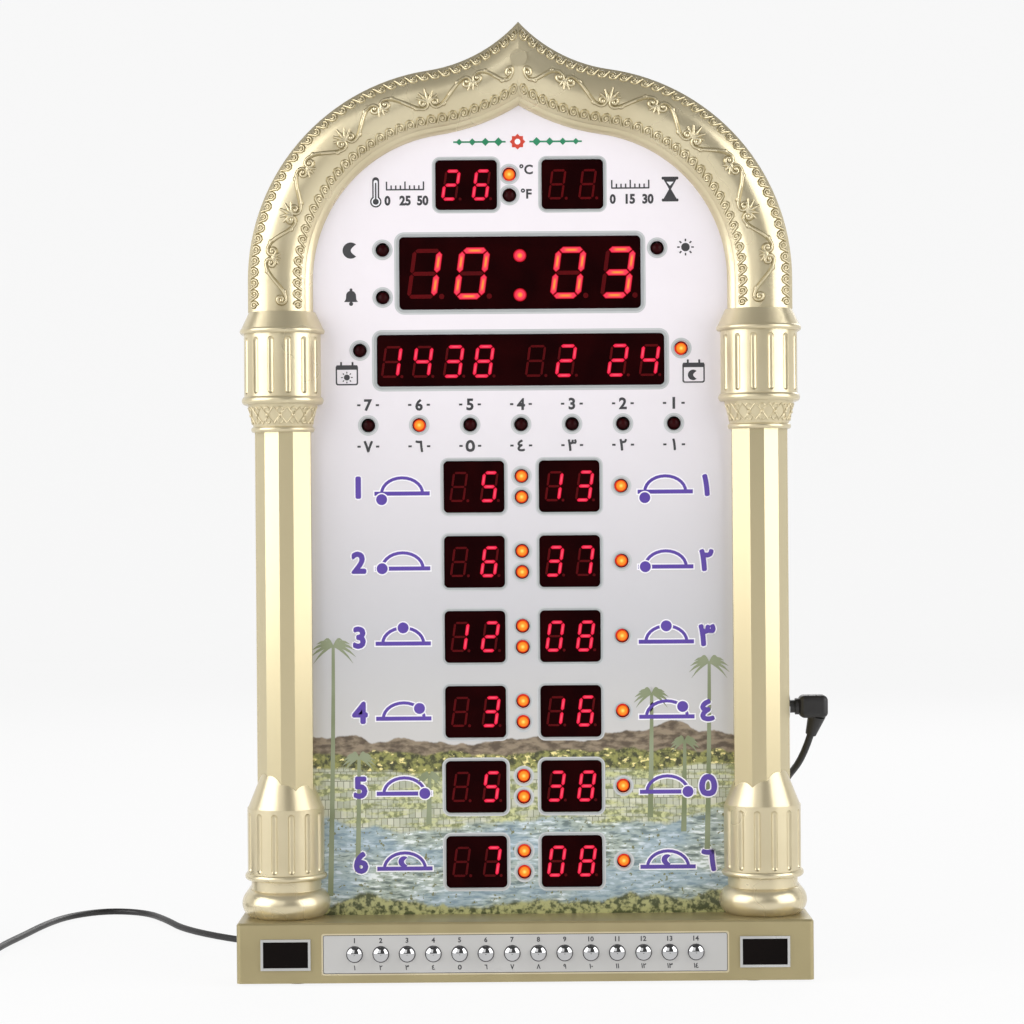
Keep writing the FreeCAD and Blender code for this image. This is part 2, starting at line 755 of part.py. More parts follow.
def make_plinth():
    owner = body("Plinth", y=depth("plinth_depth / 2"))
    block = rectangle(sketch_in(owner, "PlinthBlock", "XY_Plane", "foot_height"), "0", "0", "plinth_width",
                      "plinth_depth", "plinth_corner")
    pad(owner, "PlinthPad", block, "plinth_top - foot_height")
    inside = rectangle(sketch_in(owner, "PlinthInside", "XY_Plane", "foot_height"), "0", "0",
                       "plinth_width - 2 * plinth_wall", "plinth_depth - 2 * plinth_wall")
    pocket(owner, "PlinthHollow", inside, "plinth_top - foot_height - plinth_wall", backwards=True)
    seat = rectangle(sketch_in(owner, "PlateSeat", "XZ_Plane", "plinth_depth / 2"), "0", "button_height",
                     "plate_width + part_gap", "plate_height + part_gap", "plate_corner")
    pocket(owner, "PlateRecess", seat, "plate_thick")
    through = sketch_in(owner, "FrontOpenings", "XZ_Plane", "plinth_depth / 2")
    rectangle(through, "0", "button_height", "button_pitch * 14", "slot_height")
    for way in ("-", ""):
        rectangle(through, f"{way}{WINDOW_SPREAD}", "button_height", "window_width", "window_height")
    pocket(owner, "FrontHoles", through, "plinth_wall")
    slot = rectangle(sketch_in(owner, "RibbonSlot", "XY_Plane", "plinth_top"), "0",
                     "panel_depth + panel_thick + standoff_length + board_thick"
                     " + ribbon_thick / 2 - plinth_depth / 2",
                     "ribbon_width + 2", "ribbon_thick + 2")
    pocket(owner, "RibbonHole", slot, "plinth_wall")
    doc.recompute()
    top = number("plinth_top")
    half = number("plinth_width") / 2
    rear = number("plinth_depth") / 2
    rim = []
    for i, edge in enumerate(owner.Shape.Edges, start=1):
        if min(v.Z for v in edge.Vertexes) < top - 0.01:
            continue
        if all(abs(v.X) > half - 3 or abs(v.Y - owner.Placement.Base.y) > rear - 3 for v in edge.Vertexes):
            rim.append(f"Edge{i}")
    before = owner.Tip
    bevel = owner.newObject("PartDesign::Chamfer", "TopBevel")
    bevel.Base = (before, rim)
    bind(bevel, Size="plinth_bevel")
    doc.recompute()

    posts = [rod(f"Post{i}", (x, depth(back), "foot_height + bottom_thick"), "post_radius",
                 "plinth_top - foot_height - bottom_thick - plinth_wall / 2")
             for i, (x, back) in enumerate(plinth_posts())]
    board_posts = [rod(f"BoardPost{i}",
                       (f"{way}button_board_post", depth("plinth_wall / 2"), "button_height"),
                       "button_board_post_radius", "button_board_depth - plinth_wall / 2", "y")
                   for i, way in enumerate(("-", ""))]
    pilots = [rod(f"PostPilot{i}", (x, depth(back), "foot_height"), "screw_radius + fit_gap",
                  "screw_length + 1")
              for i, (x, back) in enumerate(plinth_posts())]
    node(cut("PlinthHousing", fuse("PlinthWithPosts", [owner] + posts + board_posts), pilots),
         "plinth_housing")

    plate = box("BottomPlate", ("-plinth_width / 2 + plinth_wall + part_gap",
                                depth("plinth_wall + part_gap"), "foot_height"),
                ("plinth_width - 2 * plinth_wall - 2 * part_gap",
                 "plinth_depth - 2 * plinth_wall - 2 * part_gap", "bottom_thick"))
    holes = []
    screws = []
    for i, (x, back) in enumerate(plinth_posts()):
        holes.append(rod(f"PlateHole{i}", (x, depth(back), "foot_height"), "screw_radius + part_gap",
                         "bottom_thick"))
        holes.append(rod(f"HeadSink{i}", (x, depth(back), "foot_height"), "screw_head + part_gap",
                         "screw_head_thick"))
        head = rod(f"BottomHead{i}", (x, depth(back), "foot_height"), "screw_head", "screw_head_thick")
        shank = rod(f"BottomShank{i}", (x, depth(back), "foot_height"), "screw_radius", "screw_length")
        screws.append(fuse(f"BottomScrew{i}", [head, shank]))
    node(cut("PlinthBottom", plate, holes), "plinth_bottom")
    node(group("PlinthScrews", screws), "plinth_screws")

    inner = "(plinth_width / 2 - post_inset - screw_head - foot_radius - 4)"
    feet = [rod(f"Foot{i}", (f"{way}{inner}", depth(back), "0"), "foot_radius", "foot_height")
            for i, (way, back) in enumerate([(w, b) for w in ("-",
                                                              "") for b in ("foot_inset",
                                                                            "plinth_depth - foot_inset")])]
    node(group("RubberFeet", feet), "rubber_feet")


def make_buttons():
    owner = body("ButtonPlate", y=depth("0"))
    face = rectangle(sketch_in(owner, "PlateFace", "XZ_Plane", "-plate_thick"), "0", "button_height",
                     "plate_width",
                     "plate_height", "plate_corner")
    for i in range(BUTTON_COUNT):
        hole(face, button_x(i), "button_height", "button_radius + button_play")
    pad(owner, "PlatePad", face, "plate_thick")
    node(owner, "button_plate")

    flange = "plate_thick + part_gap"
    tip = "button_board_depth - switch_thick - plunger_proud - press_travel - button_play"
    crown = "((button_radius ^ 2 + button_crown ^ 2) / (2 * button_crown))"
    for i in range(BUTTON_COUNT):
        button = body(f"Button{i + 1:02d}", x=button_x(i), y=depth("0"), z="button_height")
        profile = outline(sketch_in(button, f"ButtonProfile{i + 1:02d}", "XY_Plane"), [
            ("0", "-button_proud", (1, crown)),
            ("button_radius", "-button_proud + button_crown"),
            ("button_radius", flange),
            ("button_flange", flange),
            ("button_flange", f"{flange} + flange_thick"),
            ("button_nib", f"{flange} + flange_thick"),
            ("button_nib", tip),
            ("0", tip),
        ])
        turned(button, f"ButtonTurned{i + 1:02d}", profile)
        node(button, f"button_{i + 1:02d}")

    reach = "(plinth_width / 2 - post_inset - post_radius - board_margin)"
    board = box("ButtonBoard", (f"-{reach}", depth("button_board_depth"),
                                "button_height - button_board_height / 2"),
                (f"2 * {reach}", "board_thick", "button_board_height"))
    node(board, "button_board")
    switches = []
    for i in range(BUTTON_COUNT):
        x = button_x(i)
        shell = box(f"SwitchShell{i}",
                    (f"{x} - switch_width / 2", depth("button_board_depth - switch_thick"),
                     "button_height - switch_width / 2"),
                    ("switch_width", "switch_thick", "switch_width"))
        plunger = rod(f"Plunger{i}",
                      (x, depth("button_board_depth - switch_thick - plunger_proud"), "button_height"),
                      "plunger_radius", "plunger_proud", "y")
        switches.append(fuse(f"Switch{i}", [shell, plunger]))
    node(group("TactSwitches", switches), "tact_switches")

    windows = []
    bezels = []
    for way in ("-", ""):
        side = "Left" if way else "Right"
        middle = f"{way}{WINDOW_SPREAD}"
        windows.append(box(f"Window{side}",
                           (f"{middle} - window_width / 2 + fit_gap", depth("-window_proud"),
                            "button_height - window_height / 2 + fit_gap"),
                           ("window_width - 2 * fit_gap", "window_thick", "window_height - 2 * fit_gap")))
        frame = box(f"BezelBlock{side}",
                    (f"{middle} - window_width / 2 - bezel_border", depth("-bezel_thick"),
                     "button_height - window_height / 2 - bezel_border"),
                    ("window_width + 2 * bezel_border", "bezel_thick", "window_height + 2 * bezel_border"))
        light = box(f"BezelLight{side}",
                    (f"{middle} - window_width / 2", depth("-bezel_thick"),
                     "button_height - window_height / 2"),
                    ("window_width", "bezel_thick", "window_height"))
        bezels.append(cut(f"Bezel{side}", frame, [light]))
    node(group("RemoteWindows", windows), "remote_windows")
    node(group("WindowBezels", bezels), "window_bezels")

    receiver = box("Receiver", (f"-{WINDOW_SPREAD} - receiver_width / 2",
                                depth("window_thick - window_proud + part_gap"),
                                "button_height - receiver_width / 2"),
                   ("receiver_width", "button_board_depth - window_thick + window_proud - part_gap",
                    "receiver_width"))
    node(receiver, "ir_receiver")


def row_height(i):
    return f"first_row - row_pitch * {i}"


STATUS_OFFSET = "(time_width / 2 + status_gap)"
CALENDAR_OFFSET = "(date_width / 2 + calendar_gap)"
SMALL_WINDOWS = {"temperature_display": "-small_spread", "iqamah_display": "small_spread"}
STATUS_LAMPS = [
    ("-scale_lamp_offset", "small_row + colon_half"),
    ("-scale_lamp_offset", "small_row - colon_half"),
    (f"-{STATUS_OFFSET}", "time_row + status_half"),
    (f"-{STATUS_OFFSET}", "time_row - status_half"),
    (STATUS_OFFSET, "time_row + status_half"),
    (f"-{CALENDAR_OFFSET}", "calendar_row"),
    (CALENDAR_OFFSET, "calendar_row"),
]
WEEKDAY_LAMPS = [(f"weekday_pitch * {i - (WEEKDAYS - 1) / 2}" if i != WEEKDAYS // 2 else "0",
                  "weekday_row") for i in range(WEEKDAYS)]
COLON_LAMPS = [("0", f"{row_height(i)} {way} colon_half") for i in range(PRAYER_ROWS) for way in "+-"]
PRAYER_LAMPS = [("prayer_lamp_offset", row_height(i)) for i in range(PRAYER_ROWS)]


def make_face_panel():
    owner = body("FacePanel", y=depth("panel_depth"))
    face = keel(sketch_in(owner, "PanelOutline", "XZ_Plane", "-panel_thick"), "plinth_top",
                "(arch_reach - panel_inset)", "panel_inset")
    pad(owner, "PanelPad", face, "panel_thick")

    large = sketch_in(owner, "TopWindows", "XZ_Plane")
    for x in SMALL_WINDOWS.values():
        rectangle(large, x, "small_row", "small_width", "small_height", "window_corner")
    rectangle(large, "0", "time_row", "time_width", "time_height", "window_corner")
    rectangle(large, "0", "date_row", "date_width", "date_height", "window_corner")
    for x, z in STATUS_LAMPS + WEEKDAY_LAMPS:
        hole(large, x, z, "lamp_hole")
    pocket(owner, "TopOpenings", large, "panel_thick")

    row = sketch_in(owner, "PrayerRow", "XZ_Plane")
    for way in ("-", ""):
        rectangle(row, f"{way}digit_spread", "first_row", "digit_width", "digit_height", "window_corner")
    for x, z in COLON_LAMPS[:2] + PRAYER_LAMPS[:1]:
        hole(row, x, z, "lamp_hole")
    first = pocket(owner, "PrayerOpenings", row, "panel_thick")
    rows = owner.newObject("PartDesign::LinearPattern", "PrayerRows")
    rows.Originals = [first]
    rows.Direction = (row, ["V_Axis"])
    rows.Reversed = True
    rows.Occurrences = PRAYER_ROWS
    bind(rows, Length=f"row_pitch * {PRAYER_ROWS - 1}")
    owner.Tip = rows
    node(owner, "face_panel")


BOARD_DEPTH = "(panel_depth + panel_thick + standoff_length)"


def display(name, x, z, width, height):
    """A display module that stands on the main board and fills its window."""
    owner = body(name, x=x, y=depth("panel_depth + display_recess"), z=z)
    face = rectangle(sketch_in(owner, f"{name}Face", "XZ_Plane"), "0", "0", f"{width} - 2 * display_gap",
                     f"{height} - 2 * display_gap", "window_corner")
    pad(owner, f"{name}Pad", face, "panel_thick + standoff_length - display_recess", backwards=True)
    return owner


def make_displays():
    for name, x in SMALL_WINDOWS.items():
        node(display(f"Small{name[:4].title()}", x, "small_row", "small_width", "small_height"), name)
    node(display("TimeDisplay", "0", "time_row", "time_width", "time_height"), "time_display")
    node(display("DateDisplay", "0", "date_row", "date_width", "date_height"), "date_display")
    for name, way in (("hour", "-"), ("minute", "")):
        modules = [display(f"{name.title()}{i}", f"{way}digit_spread", row_height(i), "digit_width",
                           "digit_height")
                   for i in range(PRAYER_ROWS)]
        node(group(f"{name.title()}Displays", modules), f"{name}_displays")


def make_lamps():
    for name, places in (("status", STATUS_LAMPS), ("weekday", WEEKDAY_LAMPS), ("colon", COLON_LAMPS),
                         ("prayer", PRAYER_LAMPS)):
        lamps = []
        for i, (x, z) in enumerate(places):
            key = f"{name.title()}{i}"
            dome = ball(f"{key}Dome", (x, depth("panel_depth + display_recess + lamp_radius"), z),
                        "lamp_radius")
            barrel = rod(f"{key}Barrel", (x, depth("panel_depth + display_recess + lamp_radius"), z),
                         "lamp_radius",
                         "panel_thick + standoff_length - display_recess - lamp_radius", "y")
            collar = rod(f"{key}Collar", (x, depth(f"{BOARD_DEPTH} - lamp_flange_thick"), z), "lamp_flange",
                         "lamp_flange_thick", "y")
            lamps.append(fuse(f"{key}Lamp", [dome, barrel, collar]))
        node(group(f"{name.title()}Leds", lamps), f"{name}_leds")


def standoff_places():
    return [(f"{way}standoff_offset", z) for way in ("-", "") for z in ("standoff_low", "standoff_mid",
                                                                        "standoff_high")]


def make_main_board():
    rear = f"({BOARD_DEPTH} + board_thick)"
    slab = box("BoardSlab", ("-main_board_half", depth(BOARD_DEPTH), "main_board_bottom"),
               ("2 * main_board_half", "board_thick", "main_board_top - main_board_bottom"))
    holes = []
    standoffs = []
    screws = []
    for i, (x, z) in enumerate(standoff_places()):
        holes.append(rod(f"BoardHole{i}", (x, depth(BOARD_DEPTH), z), "screw_radius + part_gap",
                         "board_thick", "y"))
        sleeve = rod(f"Sleeve{i}", (x, depth("panel_depth + panel_thick"), z), "standoff_radius",
                     "standoff_length", "y")
        thread = rod(f"Thread{i}", (x, depth(f"{BOARD_DEPTH} - standoff_length * 0.75"), z),
                     "screw_radius + fit_gap", "standoff_length", "y")
        standoffs.append(cut(f"Standoff{i}", sleeve, [thread]))
        head = rod(f"BoardHead{i}", (x, depth(rear), z), "screw_head", "screw_head_thick", "y")
        shank = rod(f"BoardShank{i}", (x, depth(f"{BOARD_DEPTH} - standoff_length * 0.6"), z),
                    "screw_radius",
                    "standoff_length * 0.6 + board_thick + fit_gap", "y")
        screws.append(fuse(f"BoardScrew{i}", [head, shank]))
    node(cut("MainBoard", slab, holes), "main_board")
    node(group("BoardStandoffs", standoffs), "board_standoffs")
    node(group("BoardScrews", screws), "board_screws")

    chips = [box(f"Chip{i}", ("-chip_width / 2", depth(rear), f"standoff_low + 12 + chip_pitch * {i}"),
                 ("chip_width", "chip_thick", "chip_height")) for i in range(CHIPS)]
    node(group("DriverChips", chips), "driver_chips")
    cell = rod("CoinCell", ("-standoff_offset + cell_radius * 2.2", depth(rear), "standoff_mid"),
               "cell_radius", "cell_thick", "y")
    node(cell, "coin_cell")

    ribbon = body("Ribbon", x="-ribbon_width / 2", y=depth("0"))
    front = f"({rear} + ribbon_thick)"
    end = "(button_board_depth + board_thick)"
    path = outline(sketch_in(ribbon, "RibbonPath", "YZ_Plane"), [
        (end, "ribbon_floor"),
        (f"{front} - ribbon_bend", "ribbon_floor", (1, "ribbon_bend")),
        (front, "ribbon_floor + ribbon_bend"),
        (front, "ribbon_top"),
        (rear, "ribbon_top"),
        (rear, "ribbon_floor + ribbon_bend", (-1, "ribbon_bend - ribbon_thick")),
        (f"{front} - ribbon_bend", "ribbon_floor + ribbon_thick"),
        (end, "ribbon_floor + ribbon_thick"),
    ])
    pad(ribbon, "RibbonPad", path, "ribbon_width")
    node(ribbon, "ribbon_cable")


def cover_screws():
    return [
        ("0", "crest_boss_height"),
        ("-cover_screw_offset", "cover_screw_high"),
        ("cover_screw_offset", "cover_screw_high"),
        ("-cover_screw_offset", "cover_screw_low"),
        ("cover_screw_offset", "cover_screw_low"),
    ]


def keyhole(sketch, x, z):
    """A round entry with a narrower slot above it."""
    half = "hanger_slot / 2"
    rise = "sqrt(hanger_radius ^ 2 - hanger_slot ^ 2 / 4)"
    outline(sketch, [
        (f"{x} + {half}", f"{z} + {rise}"),
        (f"{x} + {half}", f"{z} + hanger_rise", (1, half)),
        (x, f"{z} + hanger_rise + {half}", (1, half)),
        (f"{x} - {half}", f"{z} + hanger_rise"),
        (f"{x} - {half}", f"{z} + {rise}", (1, "hanger_radius")),
        (x, f"{z} - hanger_radius", (1, "hanger_radius")),
    ])


def make_rear_cover():
    owner = body("RearCover", y=depth("plinth_depth"))
    edge = keel(sketch_in(owner, "CoverOutline", "XZ_Plane"), "plinth_top", "cover_side", "cover_inset")
    pad(owner, "CoverPad", edge, "cover_thick")
    openings = sketch_in(owner, "CoverOpenings", "XZ_Plane", "cover_thick")
    for way in ("-", ""):
        keyhole(openings, f"{way}hanger_spacing / 2", "hanger_height")
    for ring, count in enumerate(GRILLE_RINGS):
        for i in range(count):
            turn = 360 * i / count
            x = "0" if ring == 0 or turn in (90, 270) else f"grille_step * {ring} * cos({turn})"
            hole(openings, x, f"speaker_height + grille_step * {ring} * sin({turn})", "grille_hole")
    for x, z in cover_screws():
        hole(openings, x, z, "screw_radius + part_gap")
    pocket(owner, "CoverHoles", openings, "cover_thick")
    sinks = sketch_in(owner, "HeadSinks", "XZ_Plane")
    for x, z in cover_screws():
        hole(sinks, x, z, "screw_head + part_gap")
    pocket(owner, "CoverSinks", sinks, "screw_head_thick", backwards=True)
    node(owner, "rear_cover")

    screws = []
    for i, (x, z) in enumerate(cover_screws()):
        head = rod(f"CoverHead{i}", (x, depth("plinth_depth - screw_head_thick"), z), "screw_head",
                   "screw_head_thick", "y")
        shank = rod(f"CoverShank{i}", (x, depth("plinth_depth - screw_length"), z), "screw_radius",
                    "screw_length", "y")
        screws.append(fuse(f"CoverScrew{i}", [head, shank]))
    node(group("RearScrews", screws), "rear_screws")


def make_speaker():
    """The loudspeaker on the rear cover. Profiles run from its axis outwards and from the cover forwards."""
    rim = "speaker_flange"
    foot = "(speaker_flange + basket_depth)"
    basket = body("Basket", y=depth("plinth_depth - cover_thick"), z="speaker_height")
    turned(basket, "BasketTurned", outline(sketch_in(basket, "BasketProfile", "XY_Plane"), [
        ("basket_rim - basket_wall", "0"),
        ("basket_foot - basket_wall / 2", f"-{foot} + basket_wall / 2"),
        ("cone_hub", f"-{foot} + basket_wall / 2"),
        ("cone_hub", f"-{foot}"),
        ("basket_foot", f"-{foot}"),
        ("basket_rim", f"-{rim}"),
        ("speaker_radius", f"-{rim}"),
        ("speaker_radius", "0"),
    ]))
    node(basket, "speaker_basket")
    cone = body("Cone", y=depth("plinth_depth - cover_thick"), z="speaker_height")
    edge = "(basket_rim - basket_wall * 1.4)"
    turned(cone, "ConeTurned", outline(sketch_in(cone, "ConeProfile", "XY_Plane"), [
        ("0", "-basket_depth * 0.55"),
        ("cone_hub", "-basket_depth * 0.7"),
        (f"{edge} - basket_wall", "-cone_paper"),
        (f"{edge} - basket_wall * 0.25", "-cone_paper"),
        (f"{edge} - basket_wall * 0.25", "0"),
        (f"{edge} - basket_wall", "0"),
        ("cone_hub", "-basket_depth * 0.7 + cone_paper"),
        ("0", "-basket_depth * 0.55 + cone_paper"),
    ]))
    node(cone, "speaker_cone")
    magnet = rod("Magnet", ("0", depth(f"plinth_depth - cover_thick - {foot} - magnet_thick"),
                            "speaker_height"),
                 "magnet_radius", "magnet_thick", "y")
    node(magnet, "speaker_magnet")


WALL_FACE = "(column_spread + shaft_half)"
PLUG_START = f"({WALL_FACE} + jack_flange_thick + sleeve_shows)"


def rounded_block(name, block, radius):
    """A box with all twelve edges rounded."""
    thing = doc.addObject("Part::Fillet", name)
    thing.Base = block
    doc.recompute()
    thing.Edges = [(i, number(radius), number(radius)) for i in range(1, 13)]
    return thing


def make_socket_and_plug():
    y = depth("jack_depth")
    flange = rod("JackFlange", (WALL_FACE, y, "jack_height"), "jack_flange", "jack_flange_thick", "x")
    barrel = rod("JackBarrel", (f"{WALL_FACE} - jack_length", y, "jack_height"), "jack_barrel",
                 "jack_length", "x")
    nut = rod("JackNut", (f"{WALL_FACE} - shaft_wall - 2", y, "jack_height"), "jack_flange", "2", "x")
    bore = rod("JackBore", (f"{WALL_FACE} - sleeve_in - 1", y, "jack_height"), "jack_bore",
               "sleeve_in + jack_flange_thick + 1", "x")
    node(cut("DcJack", fuse("JackSolid", [flange, barrel, nut]), [bore]), "dc_jack")

    sleeve = rod("PlugSleeve", (f"{WALL_FACE} - sleeve_in", y, "jack_height"), "sleeve_radius",
                 "sleeve_in + jack_flange_thick + sleeve_shows", "x")
    collar = rod("PlugCollar", (PLUG_START, y, "jack_height"), "plug_collar", "plug_collar_length", "x")
    block = box("PlugBlock", (f"{PLUG_START} + plug_collar_length", depth("jack_depth - plug_width / 2"),
                              "jack_height - plug_height / 2"),
                ("plug_length", "plug_width", "plug_height"))
    rounded = rounded_block("PlugRounded", block, "plug_round")
    exit_point, first = Vector(*CORD_ROUTE[0]), Vector(*CORD_ROUTE[1])
    outwards = (first - exit_point).normalize()
    relief = doc.addObject("Part::Cone", "PlugRelief")
    bind(relief, Radius1="relief_root", Radius2="relief_tip", Height="relief_length")
    relief.Placement = FreeCAD.Placement(exit_point - outwards * number("relief_length"),
                                         FreeCAD.Rotation(Vector(0, 0, 1), outwards))
    node(fuse("DcPlug", [sleeve, collar, rounded, relief]), "dc_plug")


def rounded_wire(points):
    """Straight runs joined by tangent arcs, each as large as its two runs allow."""
    edges = []
    radii = []
    start = points[0]
    for before, corner, after in zip(points, points[1:], points[2:]):
        inward = (corner - before).normalize()
        outward = (after - corner).normalize()
        turn = inward.getAngle(outward)
        reach = 0.45 * min((corner - before).Length, (after - corner).Length)
        radii.append(reach / math.tan(turn / 2))
        enter = corner - inward * reach
        leave = corner + outward * reach
        to_middle = (outward - inward).normalize()
        middle = corner + to_middle * (radii[-1] / math.cos(turn / 2) - radii[-1])
        edges.append(Part.LineSegment(start, enter).toShape())
        edges.append(Part.Arc(enter, middle, leave).toShape())
        start = leave
    edges.append(Part.LineSegment(start, points[-1]).toShape())
    return Part.Wire(edges), radii


def tube(wire, radius):
    """A round tube along a wire."""
    first = wire.Edges[0]
    section = Part.Wire(Part.makeCircle(radius, first.valueAt(first.FirstParameter),
                                        first.tangentAt(first.FirstParameter)))
    return wire.makePipeShell([section], True, False)


def biarc(start, heading, end, arrival):
    """Two arcs from start to end that leave and arrive along the given directions."""
    across = end - start
    both = heading + arrival
    a = 2 * (heading.dot(arrival) - 1)
    b = -2 * across.dot(both)
    c = across.dot(across)
    reach = c / -b if abs(a) < 1e-9 else (-b - math.sqrt(b * b - 4 * a * c)) / (2 * a)
    first = start + heading * reach
    second = end - arrival * reach
    joint = (first + second) / 2
    edges = []
    for p, corner, q in ((start, first, joint), (joint, second, end)):
        chord_middle = (p + q) / 2
        half = (q - p).Length / 2
        rise = (corner - chord_middle).Length
        bulge = half * half / rise if rise > 1e-9 else 0.0
        # the arc's middle lies between the chord's middle and the corner of its tangents
        side = math.hypot(half, rise)
        share = half / (half + side)
        edges.append(Part.Arc(p, chord_middle + (corner - chord_middle) * share,
                              q).toShape() if bulge else Part.LineSegment(p, q).toShape())
    return edges


def coil_spot(angle):
    """The coil's centreline at an angle of winding: in along the lower layer, out along the upper."""
    rate = number("coil_pitch") / (2 * math.pi)
    climb_start = 2 * math.pi * COIL_TURNS
    middle = climb_start + math.pi / 2
    radius = number("coil_radius") - rate * (middle - abs(angle - middle))
    climb = min(max((angle - climb_start) / math.pi, 0.0), 1.0)
    height = number("coil_lift + cord_radius") + number("coil_pitch") * (3 * climb ** 2 - 2 * climb ** 3)
    centre = Vector(number("coil_x"), number("coil_y"), height)
    return centre + Vector(radius * math.cos(angle), -radius * math.sin(angle), 0)


def coil_wire():
    """The coil's path in quarter turns, with a diameter of straight cord before it and a tail after it."""
    quarter = math.pi / 2
    count = 8 * COIL_TURNS + 2
    straight = 2 * number("cord_radius")
    step = 1e-4
    spots = [coil_spot(quarter * i) for i in range(count + 1)]
    headings = [(coil_spot(quarter * i + step) - coil_spot(quarter * i - step)).normalize()
                for i in range(count + 1)]
    headings[0] = Vector(0, -1, 0)
    headings[-1] = Vector(0, 1, 0)
    edges = [Part.LineSegment(spots[0] - headings[0] * straight, spots[0]).toShape()]
    for i in range(count):
        edges += biarc(spots[i], headings[i], spots[i + 1], headings[i + 1])
    edges.append(Part.LineSegment(spots[-1], spots[-1] + headings[-1] * number("coil_tail")).toShape())
    return Part.Wire(edges)


def coil_gap(wire):
    """The least gap between neighbouring turns, measured on points of the centreline."""
    spots = wire.discretize(Distance=1.0)
    apart = int(math.pi * (number("coil_radius") - number("coil_pitch") * (COIL_TURNS + 0.25)))
    least = min((p - q).Length for i, p in enumerate(spots) for q in spots[i + apart:])
    return least - 2 * number("cord_radius")


def solid_from(name, shape):
    thing = doc.addObject("Part::Feature", name)
    thing.Shape = shape
    return thing


def make_cord():
    radius = number("cord_radius")
    end = coil_wire().Edges[0].valueAt(0)
    wire, radii = rounded_wire([Vector(*p) for p in CORD_ROUTE] + [end])
    print("cord arc radii:", " ".join(f"{r:.1f}" for r in radii))
    cord = tube(wire, radius)
    ideal = math.pi * radius ** 2 * wire.Length
    print(f"cord {wire.Length:.1f} mm, volume {cord.Volume:.1f} of {ideal:.1f}")
    node(solid_from("PowerCord", cord), "power_cord")
    winding = coil_wire()
    coil = tube(winding, radius)
    ideal = math.pi * radius ** 2 * winding.Length
    print(f"coil {winding.Length:.1f} mm, volume {coil.Volume:.1f} of {ideal:.1f}")
    print(f"coil's least gap {coil_gap(winding):.2f} mm")
    node(solid_from("PowerCordCoil", coil), "power_cord_coil")

    inner = f"(coil_radius - coil_pitch * {COIL_TURNS + 0.25} - cord_radius - tie_thick)"
    outer = "(coil_radius + cord_radius + tie_thick)"
    top = "(coil_lift + 2 * cord_radius + coil_pitch + fit_gap)"
    band = box("TieBand", ("coil_x - tie_width / 2", f"coil_y - {outer} - tie_thick", "0"),
               ("tie_width", f"{outer} - {inner} + 2 * tie_thick", f"{top} + tie_thick"))
    gap = box("TieGap", ("coil_x - tie_width / 2", f"coil_y - {outer}", "tie_thick"),
              ("tie_width", f"{outer} - {inner}", f"{top} - tie_thick"))
    node(cut("CordTie", band, [gap]), "cord_tie")

    far_x = "(coil_x - coil_radius)"
    far_y = "(coil_y + coil_tail)"
    relief = doc.addObject("Part::Cone", "AdapterRelief")
    relief.Placement.Rotation = TURNS["y"]
    bind(relief, Radius1="adapter_relief_tip", Radius2="adapter_relief", Height="adapter_relief_length")
    at(relief, far_x, far_y, "coil_lift + cord_radius + coil_pitch")
    block = box("AdapterBlock", (f"{far_x} - adapter_width / 2", f"{far_y} + adapter_relief_length", "0"),
                ("adapter_width", "adapter_length", "adapter_height"))
    rounded = rounded_block("AdapterRounded", block, "adapter_round")
    collar = rod("ReliefCollar",
                 (far_x, f"{far_y} + adapter_relief_length", "coil_lift + cord_radius + coil_pitch"),
                 "adapter_relief", "adapter_round", "y")
    node(fuse("PowerAdapter", [rounded, relief, collar]), "power_adapter")
    middle = f"({far_y} + adapter_relief_length + adapter_length / 2)"
    pins = [rod(f"Pin{i}", (f"{far_x} {way} pin_spacing / 2", middle, "adapter_height"), "pin_radius",
                "pin_length")
            for i, way in enumerate("-+")]
    node(group("AdapterPins", pins), "adapter_pins")


def check_and_write():
    """Stops on any failed feature or bad solid, then writes one file for each piece."""
    doc.recompute()
    failed = [o.Name for o in doc.Objects if "Invalid" in o.State or "Error" in o.State]
    if failed:
        raise RuntimeError(f"these features failed: {failed}")
    for thing in NODES:
        shape = thing.Shape
        if shape.isNull() or not shape.isValid() or not shape.Solids:
            raise RuntimeError(f"{thing.Label} has no valid solid")
    os.makedirs("parts", exist_ok=True)
    for thing in NODES:
        thing.Shape.exportStep(f"parts/{thing.Label}.step")
        print(f"{thing.Label}: {len(thing.Shape.Solids)} solids, {thing.Shape.Volume:.0f} mm3")


make_arch_frame()
make_columns()
make_plinth()
make_buttons()
make_face_panel()
make_displays()
make_lamps()
make_main_board()
make_rear_cover()
make_speaker()
make_socket_and_plug()
make_cord()
check_and_write()
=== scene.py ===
"""The looks of an azan clock: gold keel arch on two columns, printed face, red LED digits, chrome keys.

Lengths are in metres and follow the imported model: +Z up, the face looks along -Y, +X to its right.
"""
import functools
import json
import logging
import math
from dataclasses import dataclass, field
from enum import Enum
from typing import Iterable, Sequence

import bmesh
import bpy
from mathutils import Matrix, Vector

